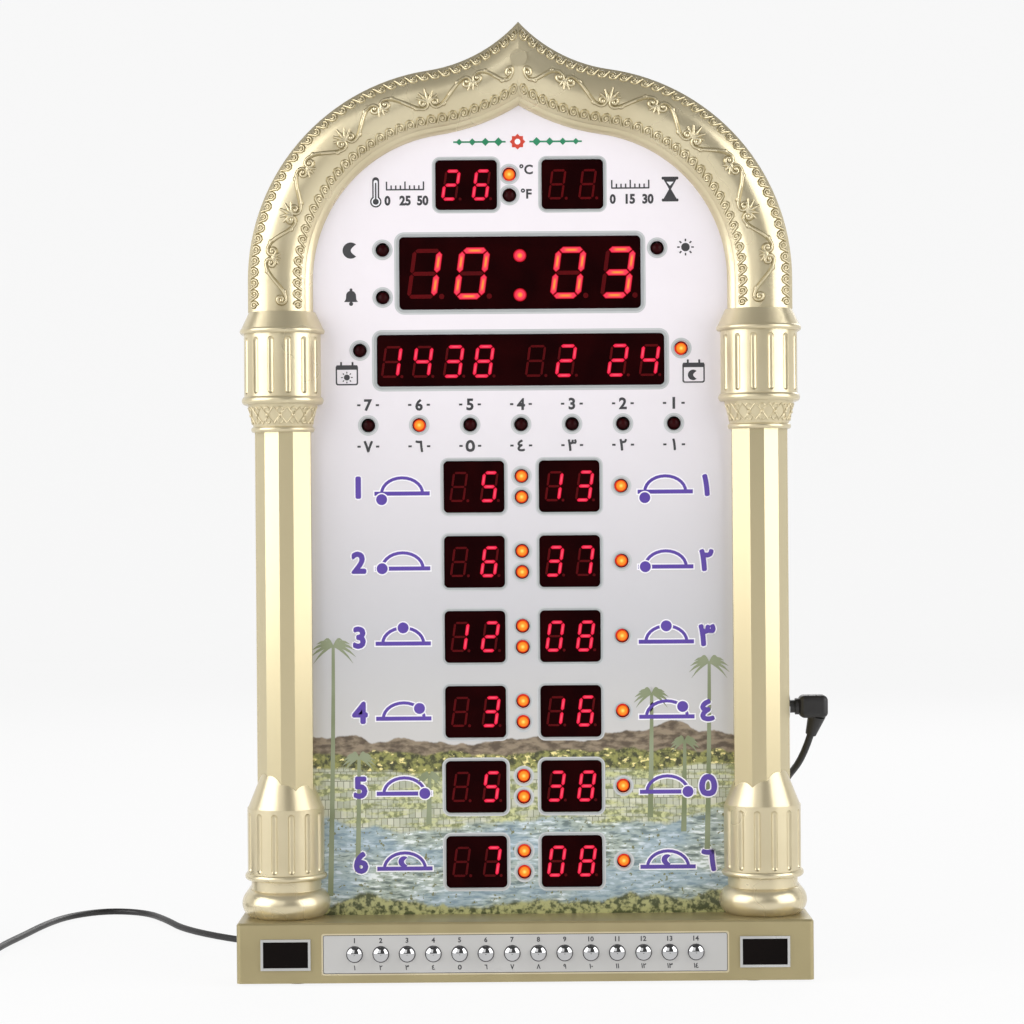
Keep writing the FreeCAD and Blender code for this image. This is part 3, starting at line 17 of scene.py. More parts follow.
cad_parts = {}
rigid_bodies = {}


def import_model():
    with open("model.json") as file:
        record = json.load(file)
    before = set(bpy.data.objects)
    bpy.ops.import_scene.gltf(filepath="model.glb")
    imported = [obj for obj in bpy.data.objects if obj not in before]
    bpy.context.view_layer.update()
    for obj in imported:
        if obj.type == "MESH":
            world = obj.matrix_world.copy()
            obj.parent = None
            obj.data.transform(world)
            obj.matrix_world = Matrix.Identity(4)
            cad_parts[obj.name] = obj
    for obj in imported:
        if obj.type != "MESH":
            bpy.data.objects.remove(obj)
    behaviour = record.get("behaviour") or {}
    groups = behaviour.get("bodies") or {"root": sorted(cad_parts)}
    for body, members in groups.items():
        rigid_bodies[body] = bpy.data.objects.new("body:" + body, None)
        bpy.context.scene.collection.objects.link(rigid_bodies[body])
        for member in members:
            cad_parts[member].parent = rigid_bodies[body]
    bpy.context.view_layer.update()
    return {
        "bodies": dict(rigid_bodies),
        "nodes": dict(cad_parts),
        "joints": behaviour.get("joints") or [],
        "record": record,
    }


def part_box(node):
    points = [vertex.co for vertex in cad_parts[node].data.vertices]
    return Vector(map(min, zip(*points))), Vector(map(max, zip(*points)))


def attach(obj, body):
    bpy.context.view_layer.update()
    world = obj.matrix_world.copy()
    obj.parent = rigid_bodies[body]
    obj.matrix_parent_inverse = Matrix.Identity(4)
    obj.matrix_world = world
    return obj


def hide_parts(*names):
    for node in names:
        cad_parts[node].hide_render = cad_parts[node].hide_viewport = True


MM = 0.001
CLOCK = "clock"
EVEN = (1.0, 1.0, 1.0)
LOG = logging.getLogger("azan_clock")
Point = tuple[float, float]
Colour = tuple[float, float, float]


def srgb(red: int, green: int, blue: int) -> Colour:
    """Turns a screen colour from 0 to 255 into linear light."""
    return tuple(c / 12.92 if c <= 0.04045 else ((c + 0.055) / 1.055) ** 2.4
                 for c in (red / 255, green / 255, blue / 255))


# Materials

class Shader:
    """One node material round a Principled surface.

    Args:
        name: the material's name.
    """

    def __init__(self, name: str) -> None:
        """Starts the material with a plain Principled surface."""
        self.material = bpy.data.materials.new(name)
        self.material.use_nodes = True
        self.tree = self.material.node_tree
        self.surface = self.tree.nodes["Principled BSDF"]

    def set(self, **values: float | Colour) -> None:
        """Sets plain values on the surface's own sockets.

        Args:
            values: socket names, with an underscore for a space, and their values.
        """
        for name, value in values.items():
            self.feed(self.surface.inputs[name.replace("_", " ")], value)

    def add(self, kind: str, **inputs: object) -> bpy.types.Node:
        """Adds a node and fills its inputs with sockets or plain values.

        Args:
            kind: the node's type, such as ShaderNodeMix.
            inputs: input names, or i0, i1 for inputs by number, and their values.

        Returns:
            The new node.
        """
        node = self.tree.nodes.new(kind)
        for name, value in inputs.items():
            key = int(name[1:]) if name[1:].isdigit() else name.replace("_", " ")
            self.feed(node.inputs[key], value)
        return node

    def feed(self, socket: bpy.types.NodeSocket, value: object) -> None:
        """Links a socket to another, or gives it a plain value.

        Args:
            socket: the input to fill.
            value: an output socket, a number, a vector or a colour.
        """
        if isinstance(value, bpy.types.NodeSocket):
            self.tree.links.new(value, socket)
        elif isinstance(value, tuple) and len(value) == 3 and socket.type == "RGBA":
            socket.default_value = (*value, 1.0)
        else:
            socket.default_value = value

    def math(self, operation: str, a: object, b: object = 0.0) -> bpy.types.NodeSocket:
        """One step of arithmetic.

        Args:
            operation: the Math node's operation.
            a: the first value.
            b: the second value.

        Returns:
            The result.
        """
        node = self.add("ShaderNodeMath", i0=a, i1=b)
        node.operation = operation
        return node.outputs[0]

    def blend(self, share: object, first: object, second: object) -> bpy.types.NodeSocket:
        """Mixes two colours.

        Args:
            share: share of the second colour.
            first: the colour where the share is 0.
            second: the colour where the share is 1.

        Returns:
            The mixed colour.
        """
        node = self.tree.nodes.new("ShaderNodeMix")
        node.data_type = "RGBA"
        for index, value in ((0, share), (6, first), (7, second)):
            self.feed(node.inputs[index], value)
        return node.outputs[2]

    def ramp(self, value: object, low: float, high: float) -> bpy.types.NodeSocket:
        """A smooth step.

        Args:
            value: the value that is stepped.
            low: where the step starts, with 0.
            high: where it ends, with 1.

        Returns:
            The stepped value.
        """
        node = self.add("ShaderNodeMapRange", Value=value, From_Min=low, From_Max=high)
        node.interpolation_type = "SMOOTHSTEP"
        return node.outputs[0]

    def place(self, kind: str = "Object") -> bpy.types.NodeSocket:
        """The surface's own coordinates: Object or UV."""
        return self.add("ShaderNodeTexCoord").outputs[kind]

    def axes(self, kind: str = "Object") -> Sequence[bpy.types.NodeSocket]:
        """The coordinates as three separate numbers."""
        return self.add("ShaderNodeSeparateXYZ", i0=self.place(kind)).outputs

    def noise(self, scale: float, detail: float, stretch: Colour = EVEN) -> bpy.types.NodeSocket:
        """Noise on Object coordinates.

        Args:
            scale: features per metre.
            detail: octaves.
            stretch: scale of the pattern along each axis.

        Returns:
            The noise, from 0 to 1.
        """
        mapping = self.add("ShaderNodeMapping", Vector=self.place(), Scale=stretch)
        node = self.add("ShaderNodeTexNoise", Vector=mapping.outputs[0], Scale=scale, Detail=detail)
        return node.outputs[0]

    def group(self, tree: bpy.types.NodeTree, **inputs: object) -> Sequence[bpy.types.NodeSocket]:
        """Places a shared group.

        Args:
            tree: the group.
            inputs: its input names and their values.

        Returns:
            Its outputs.
        """
        node = self.tree.nodes.new("ShaderNodeGroup")
        node.node_tree = tree
        for name, value in inputs.items():
            self.feed(node.inputs[name], value)
        return node.outputs

    def bump(self, height: object, depth: float) -> None:
        """Raises the surface by a height from 0 to 1, depth metres high."""
        node = self.add("ShaderNodeBump", Height=height, Distance=depth)
        self.feed(self.surface.inputs["Normal"], node.outputs[0])


class SharedEffects:
    """Node groups that several finishes use."""

    DRAWN = (1.0, 1.0, 0.02)
    BROAD_SCALE = 35.0

    def __init__(self) -> None:
        """Builds each group once."""
        self.grain = self._noise_group("Surface grain", detail=4.0, stretch=EVEN)
        self.streaks = self._noise_group("Drawn streaks", detail=2.0, stretch=self.DRAWN)

    def _noise_group(self, name: str, detail: float, stretch: Colour) -> bpy.types.NodeTree:
        """A group from Scale to a fine Height and a broad Mask.

        Args:
            name: the group's name.
            detail: octaves of noise.
            stretch: scale of the pattern along each axis.

        Returns:
            The node tree.
        """
        tree = bpy.data.node_groups.new(name, "ShaderNodeTree")
        for label, way in (("Scale", "INPUT"), ("Height", "OUTPUT"), ("Mask", "OUTPUT")):
            tree.interface.new_socket(label, in_out=way, socket_type="NodeSocketFloat")
        nodes, links = tree.nodes, tree.links
        enter, leave = nodes.new("NodeGroupInput"), nodes.new("NodeGroupOutput")
        spot, mapping = nodes.new("ShaderNodeTexCoord"), nodes.new("ShaderNodeMapping")
        mapping.inputs["Scale"].default_value = stretch
        links.new(spot.outputs["Object"], mapping.inputs["Vector"])
        fine, broad = nodes.new("ShaderNodeTexNoise"), nodes.new("ShaderNodeTexNoise")
        fine.inputs["Detail"].default_value = detail
        broad.inputs["Scale"].default_value = self.BROAD_SCALE
        links.new(enter.outputs["Scale"], fine.inputs["Scale"])
        for node, out in ((fine, "Height"), (broad, "Mask")):
            links.new(mapping.outputs[0], node.inputs["Vector"])
            links.new(node.outputs[0], leave.inputs[out])
        return tree


@dataclass(frozen=True)
class Finish:
    """A moulded, cast or lacquered surface with fine grain and slight variation.

    Attributes:
        name: the material's name.
        colour: base colour, linear.
        other: colour that the broad variation drifts towards.
        metallic: 0 for plastic, 1 for bare metal.
        roughness: middle roughness.
        spread: how far the roughness drifts.
        coat: weight of a clear coat.
        grain: features of the fine grain per metre.
        depth: height of the fine grain, in metres.
        drawn: whether the grain runs in upright streaks.
        shine: strength of the mirror reflection, 0.5 for plain plastic.
    """

    name: str
    colour: Colour
    other: Colour
    metallic: float = 0.0
    roughness: float = 0.5
    spread: float = 0.08
    coat: float = 0.0
    grain: float = 1500.0
    depth: float = 0.00002
    drawn: bool = False
    shine: float = 0.5

    def make(self, effects: SharedEffects) -> bpy.types.Material:
        """Builds the material.

        Args:
            effects: the shared groups.

        Returns:
            The material.
        """
        shader = Shader(self.name)
        shader.set(Metallic=self.metallic, Coat_Weight=self.coat, Coat_Roughness=0.08,
                   Specular_IOR_Level=self.shine)
        height, mask = shader.group(effects.streaks if self.drawn else effects.grain, Scale=self.grain)
        share = shader.ramp(mask, 0.3, 0.7)
        drift = shader.math("MULTIPLY", share, self.spread)
        roughness = shader.math("ADD", drift, self.roughness - self.spread / 2)
        shader.feed(shader.surface.inputs["Base Color"], shader.blend(share, self.colour, self.other))
        shader.feed(shader.surface.inputs["Roughness"], roughness)
        shader.bump(height, self.depth)
        return shader.material


@dataclass(frozen=True)
class Glow:
    """A lit LED surface: its colour changes outwards along U and from the stroke's middle along V.

    Attributes:
        name: the material's name.
        heart: colour where U is 0 and V is one half.
        middle: colour round the heart.
        edge: colour at U of 1.
        spread: U from the heart's colour to the middle's.
        reach: distance of V from one half, likewise.
        rim: U from the middle's colour to the edge's.
    """

    name: str
    heart: Colour
    middle: Colour
    edge: Colour
    spread: Point = (0.0, 0.5)
    reach: Point = (0.08, 0.34)
    rim: Point = (0.6, 1.0)

    def make(self, _effects: SharedEffects) -> bpy.types.Material:
        """Builds the material.

        Args:
            _effects: the shared groups, which it has no use for.

        Returns:
            The material.
        """
        shader = Shader(self.name)
        across, along = shader.axes("UV")[:2]
        off_middle = shader.math("ABSOLUTE", shader.math("SUBTRACT", along, 0.5))
        cool = shader.math("MAXIMUM", shader.ramp(across, *self.spread), shader.ramp(off_middle, *self.reach))
        inner = shader.blend(cool, self.heart, self.middle)
        tint = shader.blend(shader.ramp(across, *self.rim), inner, self.edge)
        shader.set(Base_Color=(0.02, 0.0, 0.0), Roughness=0.4, Specular_IOR_Level=0.08, Emission_Strength=1.0)
        shader.feed(shader.surface.inputs["Emission Color"], tint)
        return shader.material


class DisplayFilter:
    """The dark filter in front of the digits, a little red in its depth."""

    name = "display_red"
    deep = srgb(22, 2, 3)
    red = srgb(32, 3, 4)

    def make(self, _effects: SharedEffects) -> bpy.types.Material:
        """Builds the material.

        Args:
            _effects: the shared groups, which it has no use for.

        Returns:
            The material.
        """
        shader = Shader(self.name)
        share = shader.ramp(shader.noise(60.0, 2.0), 0.35, 0.7)
        shader.feed(shader.surface.inputs["Base Color"], shader.blend(share, self.deep, self.red))
        shader.set(Roughness=0.4, Specular_IOR_Level=0.02)
        shader.bump(shader.noise(900.0, 2.0), 0.000003)
        return shader.material


@dataclass(frozen=True)
class Mottle:
    """Patches of one colour on another.

    Attributes:
        scale: patches per metre.
        detail: octaves of their edges.
        low: noise where the second colour starts.
        high: noise where it is full.
        stretch: scale of the patches along each axis.
        strength: share of the second colour where it is full.
    """

    scale: float
    detail: float
    low: float
    high: float
    stretch: Colour = EVEN
    strength: float = 1.0

    def mix(self, shader: Shader, first: object, second: object) -> bpy.types.NodeSocket:
        """Mixes two colours by the patches.

        Args:
            shader: the material that takes them.
            first: the colour below.
            second: the colour of the patches.

        Returns:
            The mixed colour.
        """
        share = shader.ramp(shader.noise(self.scale, self.detail, self.stretch), self.low, self.high)
        return shader.blend(shader.math("MULTIPLY", share, self.strength), first, second)


@dataclass(frozen=True)
class GroundLine:
    """A ragged line of the printed landscape, over which the sheet keeps its colour.

    Attributes:
        height: height of the line where its noise is 0, in metres.
        swing: how far the noise lifts it, in metres.
        scale: its features per metre.
        detail: its octaves.
        steep: scale of its noise along Z, as a share of the scale along X.
        blur: width of its soft edge, in metres.
    """

    height: float
    swing: float
    scale: float
    detail: float
    steep: float
    blur: float

    def lay(self, shader: Shader, z: object, above: object, below: object) -> bpy.types.NodeSocket:
        """Covers what lies under the line.

        Args:
            shader: the material that takes it.
            z: the height coordinate.
            above: the sheet so far.
            below: the colour under the line.

        Returns:
            The sheet with the new layer.
        """
        noise = shader.noise(self.scale, self.detail, (1.0, 1.0, self.steep))
        line = shader.math("ADD", shader.math("MULTIPLY", noise, self.swing), self.height)
        under = shader.ramp(shader.math("SUBTRACT", line, z), -self.blur / 2, self.blur)
        return shader.blend(under, above, below)


class FacePrint:
    """The printed sheet: lilac white above, and a landscape of hills, groves and water at the foot, with
    painted shade at both sides beside the columns.
    """

    name = "face_print"
    layered = (1.0, 1.0, 2.2)
    rippled = (0.5, 1.0, 2.0)
    haze = (0.098, 0.15)
    sky = (0.10, 0.29)
    # Painted shade beside the columns: where it starts and where it is full, across, in metres.
    edge_shade = (0.088, 0.101)

    def make(self, _effects: SharedEffects) -> bpy.types.Material:
        """Builds the material.

        Args:
            _effects: the shared groups, which it has no use for.

        Returns:
            The material.
        """
        shader = Shader(self.name)
        x, _, z = shader.axes()
        tone = shader.blend(shader.ramp(z, *self.sky), srgb(196, 196, 199), srgb(243, 237, 242))
        sheet = shader.blend(shader.ramp(z, *self.haze), srgb(206, 204, 202), tone)
        rock = Mottle(220.0, 6.0, 0.36, 0.64, self.layered).mix(shader, srgb(92, 78, 62), srgb(150, 134, 112))
        shrubs = Mottle(520.0, 6.0, 0.38, 0.62).mix(shader, srgb(74, 80, 48), srgb(176, 176, 122))
        for line, ground in (
                (GroundLine(0.0875, 0.026, 26.0, 6.0, 0.12, 0.0006), rock),
                (GroundLine(0.0880, 0.012, 60.0, 7.0, 0.50, 0.0009), self._grove(shader)),
                (GroundLine(0.0800, 0.014, 24.0, 5.0, 0.30, 0.0012), self._terraces(shader)),
                (GroundLine(0.0480, 0.034, 22.0, 5.0, 0.40, 0.0015), self._water(shader)),
                (GroundLine(0.0205, 0.022, 40.0, 6.0, 0.40, 0.0015), shrubs)):
            sheet = line.lay(shader, z, sheet, ground)
        # Painted shade: at both sides, beside the columns, the sheet is moved a quarter of the way towards
        # grey.
        side = shader.ramp(shader.math("ABSOLUTE", x), *self.edge_shade)
        sheet = shader.blend(shader.math("MULTIPLY", side, 0.25), sheet, srgb(120, 118, 120))
        shader.feed(shader.surface.inputs["Base Color"], sheet)
        shader.set(Roughness=0.34, Coat_Weight=0.25, Coat_Roughness=0.12)
        shader.bump(shader.noise(700.0, 2.0), 0.000004)
        return shader.material

    def _grove(self, shader: Shader) -> bpy.types.NodeSocket:
        """Dark trees with yellow light on them."""
        leaves = Mottle(520.0, 6.0, 0.36, 0.62).mix(shader, srgb(64, 66, 38), srgb(150, 150, 84))
        return Mottle(430.0, 2.0, 0.58, 0.68, (1.0, 1.0, 1.5)).mix(shader, leaves, srgb(246, 232, 158))

    def _terraces(self, shader: Shader) -> bpy.types.NodeSocket:
        """Pale walled terraces with green between them.

        Args:
            shader: the face's material.

        Returns:
            Their colour.
        """
        upright = shader.add("ShaderNodeMapping", Vector=shader.place(), Rotation=(math.pi / 2, 0.0, 0.0))
        walls = shader.add("ShaderNodeTexBrick", Vector=upright.outputs[0], Color1=srgb(216, 216, 196),
                           Color2=srgb(176, 180, 158), Mortar=srgb(128, 132, 108), Scale=230.0,
                           Mortar_Size=0.05, Mortar_Smooth=0.6, Brick_Width=0.6, Row_Height=0.9)
        green = Mottle(600.0, 4.0, 0.4, 0.6).mix(shader, srgb(132, 138, 92), srgb(206, 208, 152))
        return Mottle(130.0, 6.0, 0.44, 0.60, (0.5, 1.0, 2.6)).mix(shader, walls.outputs[0], green)

    def _water(self, shader: Shader) -> bpy.types.NodeSocket:
        """Rippled water with blue tinges and dark glints.

        Args:
            shader: the face's material.

        Returns:
            Its colour.
        """
        deep, pale = srgb(104, 118, 112), srgb(176, 188, 178)
        water = Mottle(420.0, 7.0, 0.34, 0.52, self.rippled).mix(shader, deep, pale)
        water = Mottle(420.0, 7.0, 0.54, 0.64, self.rippled).mix(shader, water, srgb(236, 242, 242))
        water = Mottle(36.0, 4.0, 0.42, 0.6, (0.6, 1.0, 1.8), 0.55).mix(shader, water, srgb(150, 176, 198))
        return Mottle(640.0, 2.0, 0.62, 0.70).mix(shader, water, srgb(122, 124, 84))


class Palette:
    """Every finish of the clock, by name, built when first used."""

    FINISHES = (
        Finish("gold_moulding", srgb(215, 203, 170), srgb(206, 193, 159), 0.62, 0.29, 0.05, 0.2, 900,
               0.000012),
        Finish("gold_shaft", srgb(206, 194, 157), srgb(198, 185, 148), 0.64, 0.24, 0.05, 0.1, 2500, 0.00001,
               drawn=True),
        Finish("gold_plinth", srgb(174, 161, 121), srgb(166, 153, 114), 0.5, 0.38, 0.06, 0.15, 1800, 0.00002),
        # Painted shade: a darker gold laid along the foot of every strand of the arch relief.
        Finish("gold_painted_shade", srgb(166, 152, 114), srgb(158, 144, 106), 0.55, 0.4, 0.05, 0.0, 900, 0.000012),
        Finish("rear_plastic", srgb(52, 50, 48), srgb(46, 44, 42), 0.0, 0.62, 0.1, 0.0, 2600, 0.00006),
        Finish("plate_silver", srgb(201, 200, 198), srgb(196, 195, 193), 0.35, 0.42, 0.05, 0.1, 2400,
               0.000012),
        Finish("bezel_silver", srgb(205, 205, 203), srgb(190, 190, 188), 0.8, 0.28, 0.05, 0.2),
        Finish("print_silver", srgb(178, 181, 182), srgb(172, 175, 176), 0.1, 0.35, 0.05, 0.3),
        Finish("print_silver_light", srgb(203, 205, 206), srgb(198, 200, 201), 0.1, 0.35, 0.05, 0.3),
        Finish("print_ink", srgb(56, 55, 58), srgb(62, 61, 64), 0.0, 0.4, 0.06, 0.3),
        Finish("print_indigo", srgb(84, 58, 156), srgb(92, 66, 164), 0.0, 0.38, 0.06, 0.3),
        Finish("print_white", srgb(250, 248, 252), srgb(246, 244, 249), 0.0, 0.38, 0.06, 0.3),
        Finish("print_green", srgb(40, 130, 90), srgb(46, 138, 98), 0.0, 0.38, 0.06, 0.3),
        Finish("print_red", srgb(206, 66, 48), srgb(212, 74, 54), 0.0, 0.38, 0.06, 0.3),
        Finish("palm_green", srgb(150, 158, 128), srgb(118, 128, 88), 0.0, 0.4, 0.06, 0.3, 1200),
        Finish("window_dark", srgb(16, 13, 12), srgb(20, 15, 14), 0.0, 0.12, 0.05, 0.0, 400, 0.000004,
               shine=0.04),
        Finish("segment_off", srgb(88, 6, 11), srgb(76, 4, 9), 0.0, 0.4, 0.05, 0.0, shine=0.1),
        Finish("lamp_off", srgb(52, 8, 10), srgb(38, 5, 7), 0.0, 0.3, 0.05, 0.0, shine=0.08),
        Finish("button_chrome", srgb(196, 196, 197), srgb(188, 188, 189), 1.0, 0.06, 0.03, 0.0, 600,
               0.000002),
        Finish("board_green", srgb(26, 84, 48), srgb(20, 70, 40), 0.0, 0.35, 0.08, 0.3),
        Finish("black_plastic", srgb(34, 34, 35), srgb(28, 28, 29), 0.0, 0.45, 0.1, 0.0, 2200, 0.00003),
        Finish("bright_steel", srgb(190, 190, 192), srgb(176, 176, 178), 1.0, 0.3, 0.1),
        Finish("standoff_brass", srgb(206, 174, 104), srgb(190, 156, 88), 1.0, 0.28, 0.1),
        Finish("cable_grey", srgb(150, 150, 154), srgb(140, 140, 144), 0.0, 0.5, 0.08),
        Finish("foot_rubber", srgb(36, 35, 34), srgb(30, 29, 28), 0.0, 0.8, 0.1, 0.0, 2600, 0.00006),
        Finish("basket_steel", srgb(44, 44, 46), srgb(38, 38, 40), 0.5, 0.4, 0.1),
        Finish("cone_paper", srgb(40, 38, 36), srgb(32, 30, 28), 0.0, 0.85, 0.1, 0.0, 3000, 0.0001),
        Finish("magnet_ferrite", srgb(62, 62, 66), srgb(54, 54, 58), 0.2, 0.55, 0.1),
        Finish("socket_metal", srgb(206, 206, 204), srgb(196, 196, 194), 1.0, 0.2, 0.08),
        Finish("cord_black", srgb(38, 36, 36), srgb(31, 30, 30), 0.0, 0.46, 0.12, 0.0, 1800, 0.00003),
        Finish("adapter_black", srgb(34, 34, 36), srgb(28, 28, 30), 0.0, 0.55, 0.1, 0.0, 2200, 0.00008),
        Finish("pin_brass", srgb(214, 200, 160), srgb(204, 190, 150), 1.0, 0.25, 0.08),
    )

    LIGHTS = (
        Glow("segment_lit", srgb(255, 160, 66), srgb(255, 62, 92), srgb(176, 6, 22)),
        Glow("segment_lit_small", srgb(255, 92, 116), srgb(252, 44, 82), srgb(158, 4, 18)),
        Glow("lamp_lit", srgb(255, 232, 110), srgb(255, 150, 44), srgb(216, 26, 26)),
    )

    def __init__(self) -> None:
        """Prepares the shared effects and an empty shelf of materials."""
        self.effects = SharedEffects()
        self.made: dict[str, bpy.types.Material] = {}
        self.finishes = {finish.name: finish
                         for finish in (*self.FINISHES, *self.LIGHTS, DisplayFilter(), FacePrint())}

    def get(self, name: str) -> bpy.types.Material:
        """Builds a finish when it is first asked for.

        Args:
            name: the finish's name.

        Returns:
            Its material.
        """
        if name not in self.made:
            self.made[name] = self.finishes[name].make(self.effects)
        return self.made[name]


# Meshes

def shape_piece(shape: bmesh.types.BMesh, name: str, materials: Iterable[bpy.types.Material],
                smooth: bool = False) -> bpy.types.Object:
    """Turns a shape into one piece of the clock, and frees it.

    Args:
        shape: the geometry, already in place.
        name: the piece's name.
        materials: the materials, in slot order.
        smooth: whether its faces are shaded round.

    Returns:
        The new object.
    """
    mesh = bpy.data.meshes.new(name)
    shape.to_mesh(mesh)
    shape.free()
    piece = bpy.data.objects.new(name, mesh)
    bpy.context.scene.collection.objects.link(piece)
    for material in materials:
        mesh.materials.append(material)
    if smooth:
        mesh.shade_smooth()
    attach(piece, CLOCK)
    LOG.info("%s: %d faces", name, len(mesh.polygons))
    return piece


def add_tubes(shape: bmesh.types.BMesh, paths: Iterable[Sequence[Vector]], radius: float, material: int = 0,
              tapered: bool = False) -> None:
    """Adds round strands along paths.

    Args:
        shape: the shape that takes them.
        paths: points of each strand.
        radius: the strands' radius.
        material: index of their material.
        tapered: whether each strand thins towards its ends.
    """
    curve = bpy.data.curves.new("strands", "CURVE")
    curve.dimensions = "3D"
    curve.bevel_depth = radius
    curve.bevel_resolution = 1
    curve.use_fill_caps = True
    for path in paths:
        spline = curve.splines.new("POLY")
        last = len(path) - 1
        spline.points.add(last)
        for i, spot in enumerate(path):
            spline.points[i].co = (*spot, 1.0)
            if tapered:
                spline.points[i].radius = 0.55 + 0.45 * math.sin(math.pi * min(i / last * 1.4, 1.0))
    mesh = curve_mesh(curve, "strands")
    mesh.polygons.foreach_set("material_index", [material] * len(mesh.polygons))
    shape.from_mesh(mesh)
    bpy.data.meshes.remove(mesh)


def add_shape(shape: bmesh.types.BMesh, part: bmesh.types.BMesh,
              spots: Iterable[Vector] = (Vector(),)) -> None:
    """Adds a small shape to a large one, once at each place, and frees it.

    Args:
        shape: the large shape.
        part: the small one.
        spots: how far each copy is moved.
    """
    mesh = bpy.data.meshes.new("part")
    part.to_mesh(mesh)
    part.free()
    for spot in spots:
        mesh.transform(Matrix.Translation(spot))
        shape.from_mesh(mesh)
        mesh.transform(Matrix.Translation(-spot))
    bpy.data.meshes.remove(mesh)


def add_beads(shape: bmesh.types.BMesh, spots: Iterable[Vector], radius: float) -> None:
    """Adds a small ball at each place.

    Args:
        shape: the shape that takes them.
        spots: their middles.
        radius: their radius, in millimetres.
    """
    bead = bmesh.new()
    bmesh.ops.create_uvsphere(bead, u_segments=8, v_segments=6, radius=radius * MM)
    add_shape(shape, bead, spots)


def add_slab(shape: bmesh.types.BMesh, outline: Sequence[Point], near: float, far: float, material: int,
             inset: float = 0.0, stroke: bool = False) -> None:
    """Adds a thin closed slab that faces the front.

    Args:
        shape: the shape that takes it.
        outline: its outline, across and up, in millimetres.
        near: Y of its front.
        far: Y of its back.
        material: index of its material.
        inset: how far inside the outline U has fallen from 1 to 0, in millimetres; 0 leaves U at 1.
        stroke: whether V runs from 0 to 1 along the outline's longer side; otherwise it is one half.
    """
    part = bmesh.new()
    heat = part.loops.layers.uv.new("heat")
    face = part.faces.new([part.verts.new((px * MM, near, pz * MM)) for px, pz in outline])
    face.normal_update()
    region = [face]
    if inset:
        ring = bmesh.ops.inset_individual(part, faces=[face], use_even_offset=True, thickness=inset * MM)
        region += ring["faces"]
    heart = set(face.verts) if inset else set()
    made = bmesh.ops.extrude_face_region(part, geom=region, use_keep_orig=True)
    pushed = [v for v in made["geom"] if isinstance(v, bmesh.types.BMVert)]
    bmesh.ops.translate(part, verts=pushed, vec=(0.0, far - near, 0.0))
    bmesh.ops.recalc_face_normals(part, faces=part.faces)
    wide, tall = ([corner[i] * MM for corner in outline] for i in (0, 1))
    line = wide if max(wide) - min(wide) > max(tall) - min(tall) else tall
    for face in part.faces:
        face.material_index = material
        for loop in face.loops:
            place = loop.vert.co.x if line is wide else loop.vert.co.z
            loop[heat].uv = (0.0 if loop.vert in heart else 1.0,
                             (place - min(line)) / (max(line) - min(line)) if stroke else 0.5)
    add_shape(shape, part)


def curve_mesh(curve: bpy.types.Curve, name: str) -> bpy.types.Mesh:
    """Takes the mesh of a curve or a text, which is then dropped.

    Args:
        curve: the curve or text.
        name: a name for the mesh.

    Returns:
        The mesh, without materials.
    """
    holder = bpy.data.objects.new(name, curve)
    mesh = bpy.data.meshes.new_from_object(holder)
    bpy.data.objects.remove(holder)
    bpy.data.curves.remove(curve)
    mesh.materials.clear()
    return mesh


@functools.cache
def figure(text: str, bold: float) -> tuple[list[tuple[float, float, float]], list[tuple[int, ...]]]:
    """The closed slab of some figures or signs.

    Args:
        text: the characters.
        bold: how far the strokes are widened, as a share of the character size.

    Returns:
        Its points, with -1 or 1 as the last number for its back and front, and its faces.
    """
    curve = bpy.data.curves.new("figures", "FONT")
    curve.body = text
    curve.resolution_u = 3
    curve.offset = bold
    curve.extrude = 0.01
    mesh = curve_mesh(curve, "figures")
    shape = bmesh.new()
    shape.from_mesh(mesh)
    bpy.data.meshes.remove(mesh)
    bmesh.ops.remove_doubles(shape, verts=shape.verts, dist=0.00001)
    shape.verts.index_update()
    spots = [(v.co.x, v.co.y, 1.0 if v.co.z > 0 else -1.0) for v in shape.verts]
    faces = [tuple(v.index for v in face.verts) for face in shape.faces]
    shape.free()
    return spots, faces


class Ink(Enum):
    """The inks that the face and the key plate are printed with, by the names of their finishes."""

    DARK = "print_ink"
    WHITE = "print_white"
    INDIGO = "print_indigo"
    GREEN = "print_green"
    RED = "print_red"
    SILVER = "print_silver"
    LIGHT = "print_silver_light"
    GOLD = "gold_moulding"
    PALM = "palm_green"

    @property
    def slot(self) -> int:
        """The ink's place among a print's materials."""
        return list(Ink).index(self)


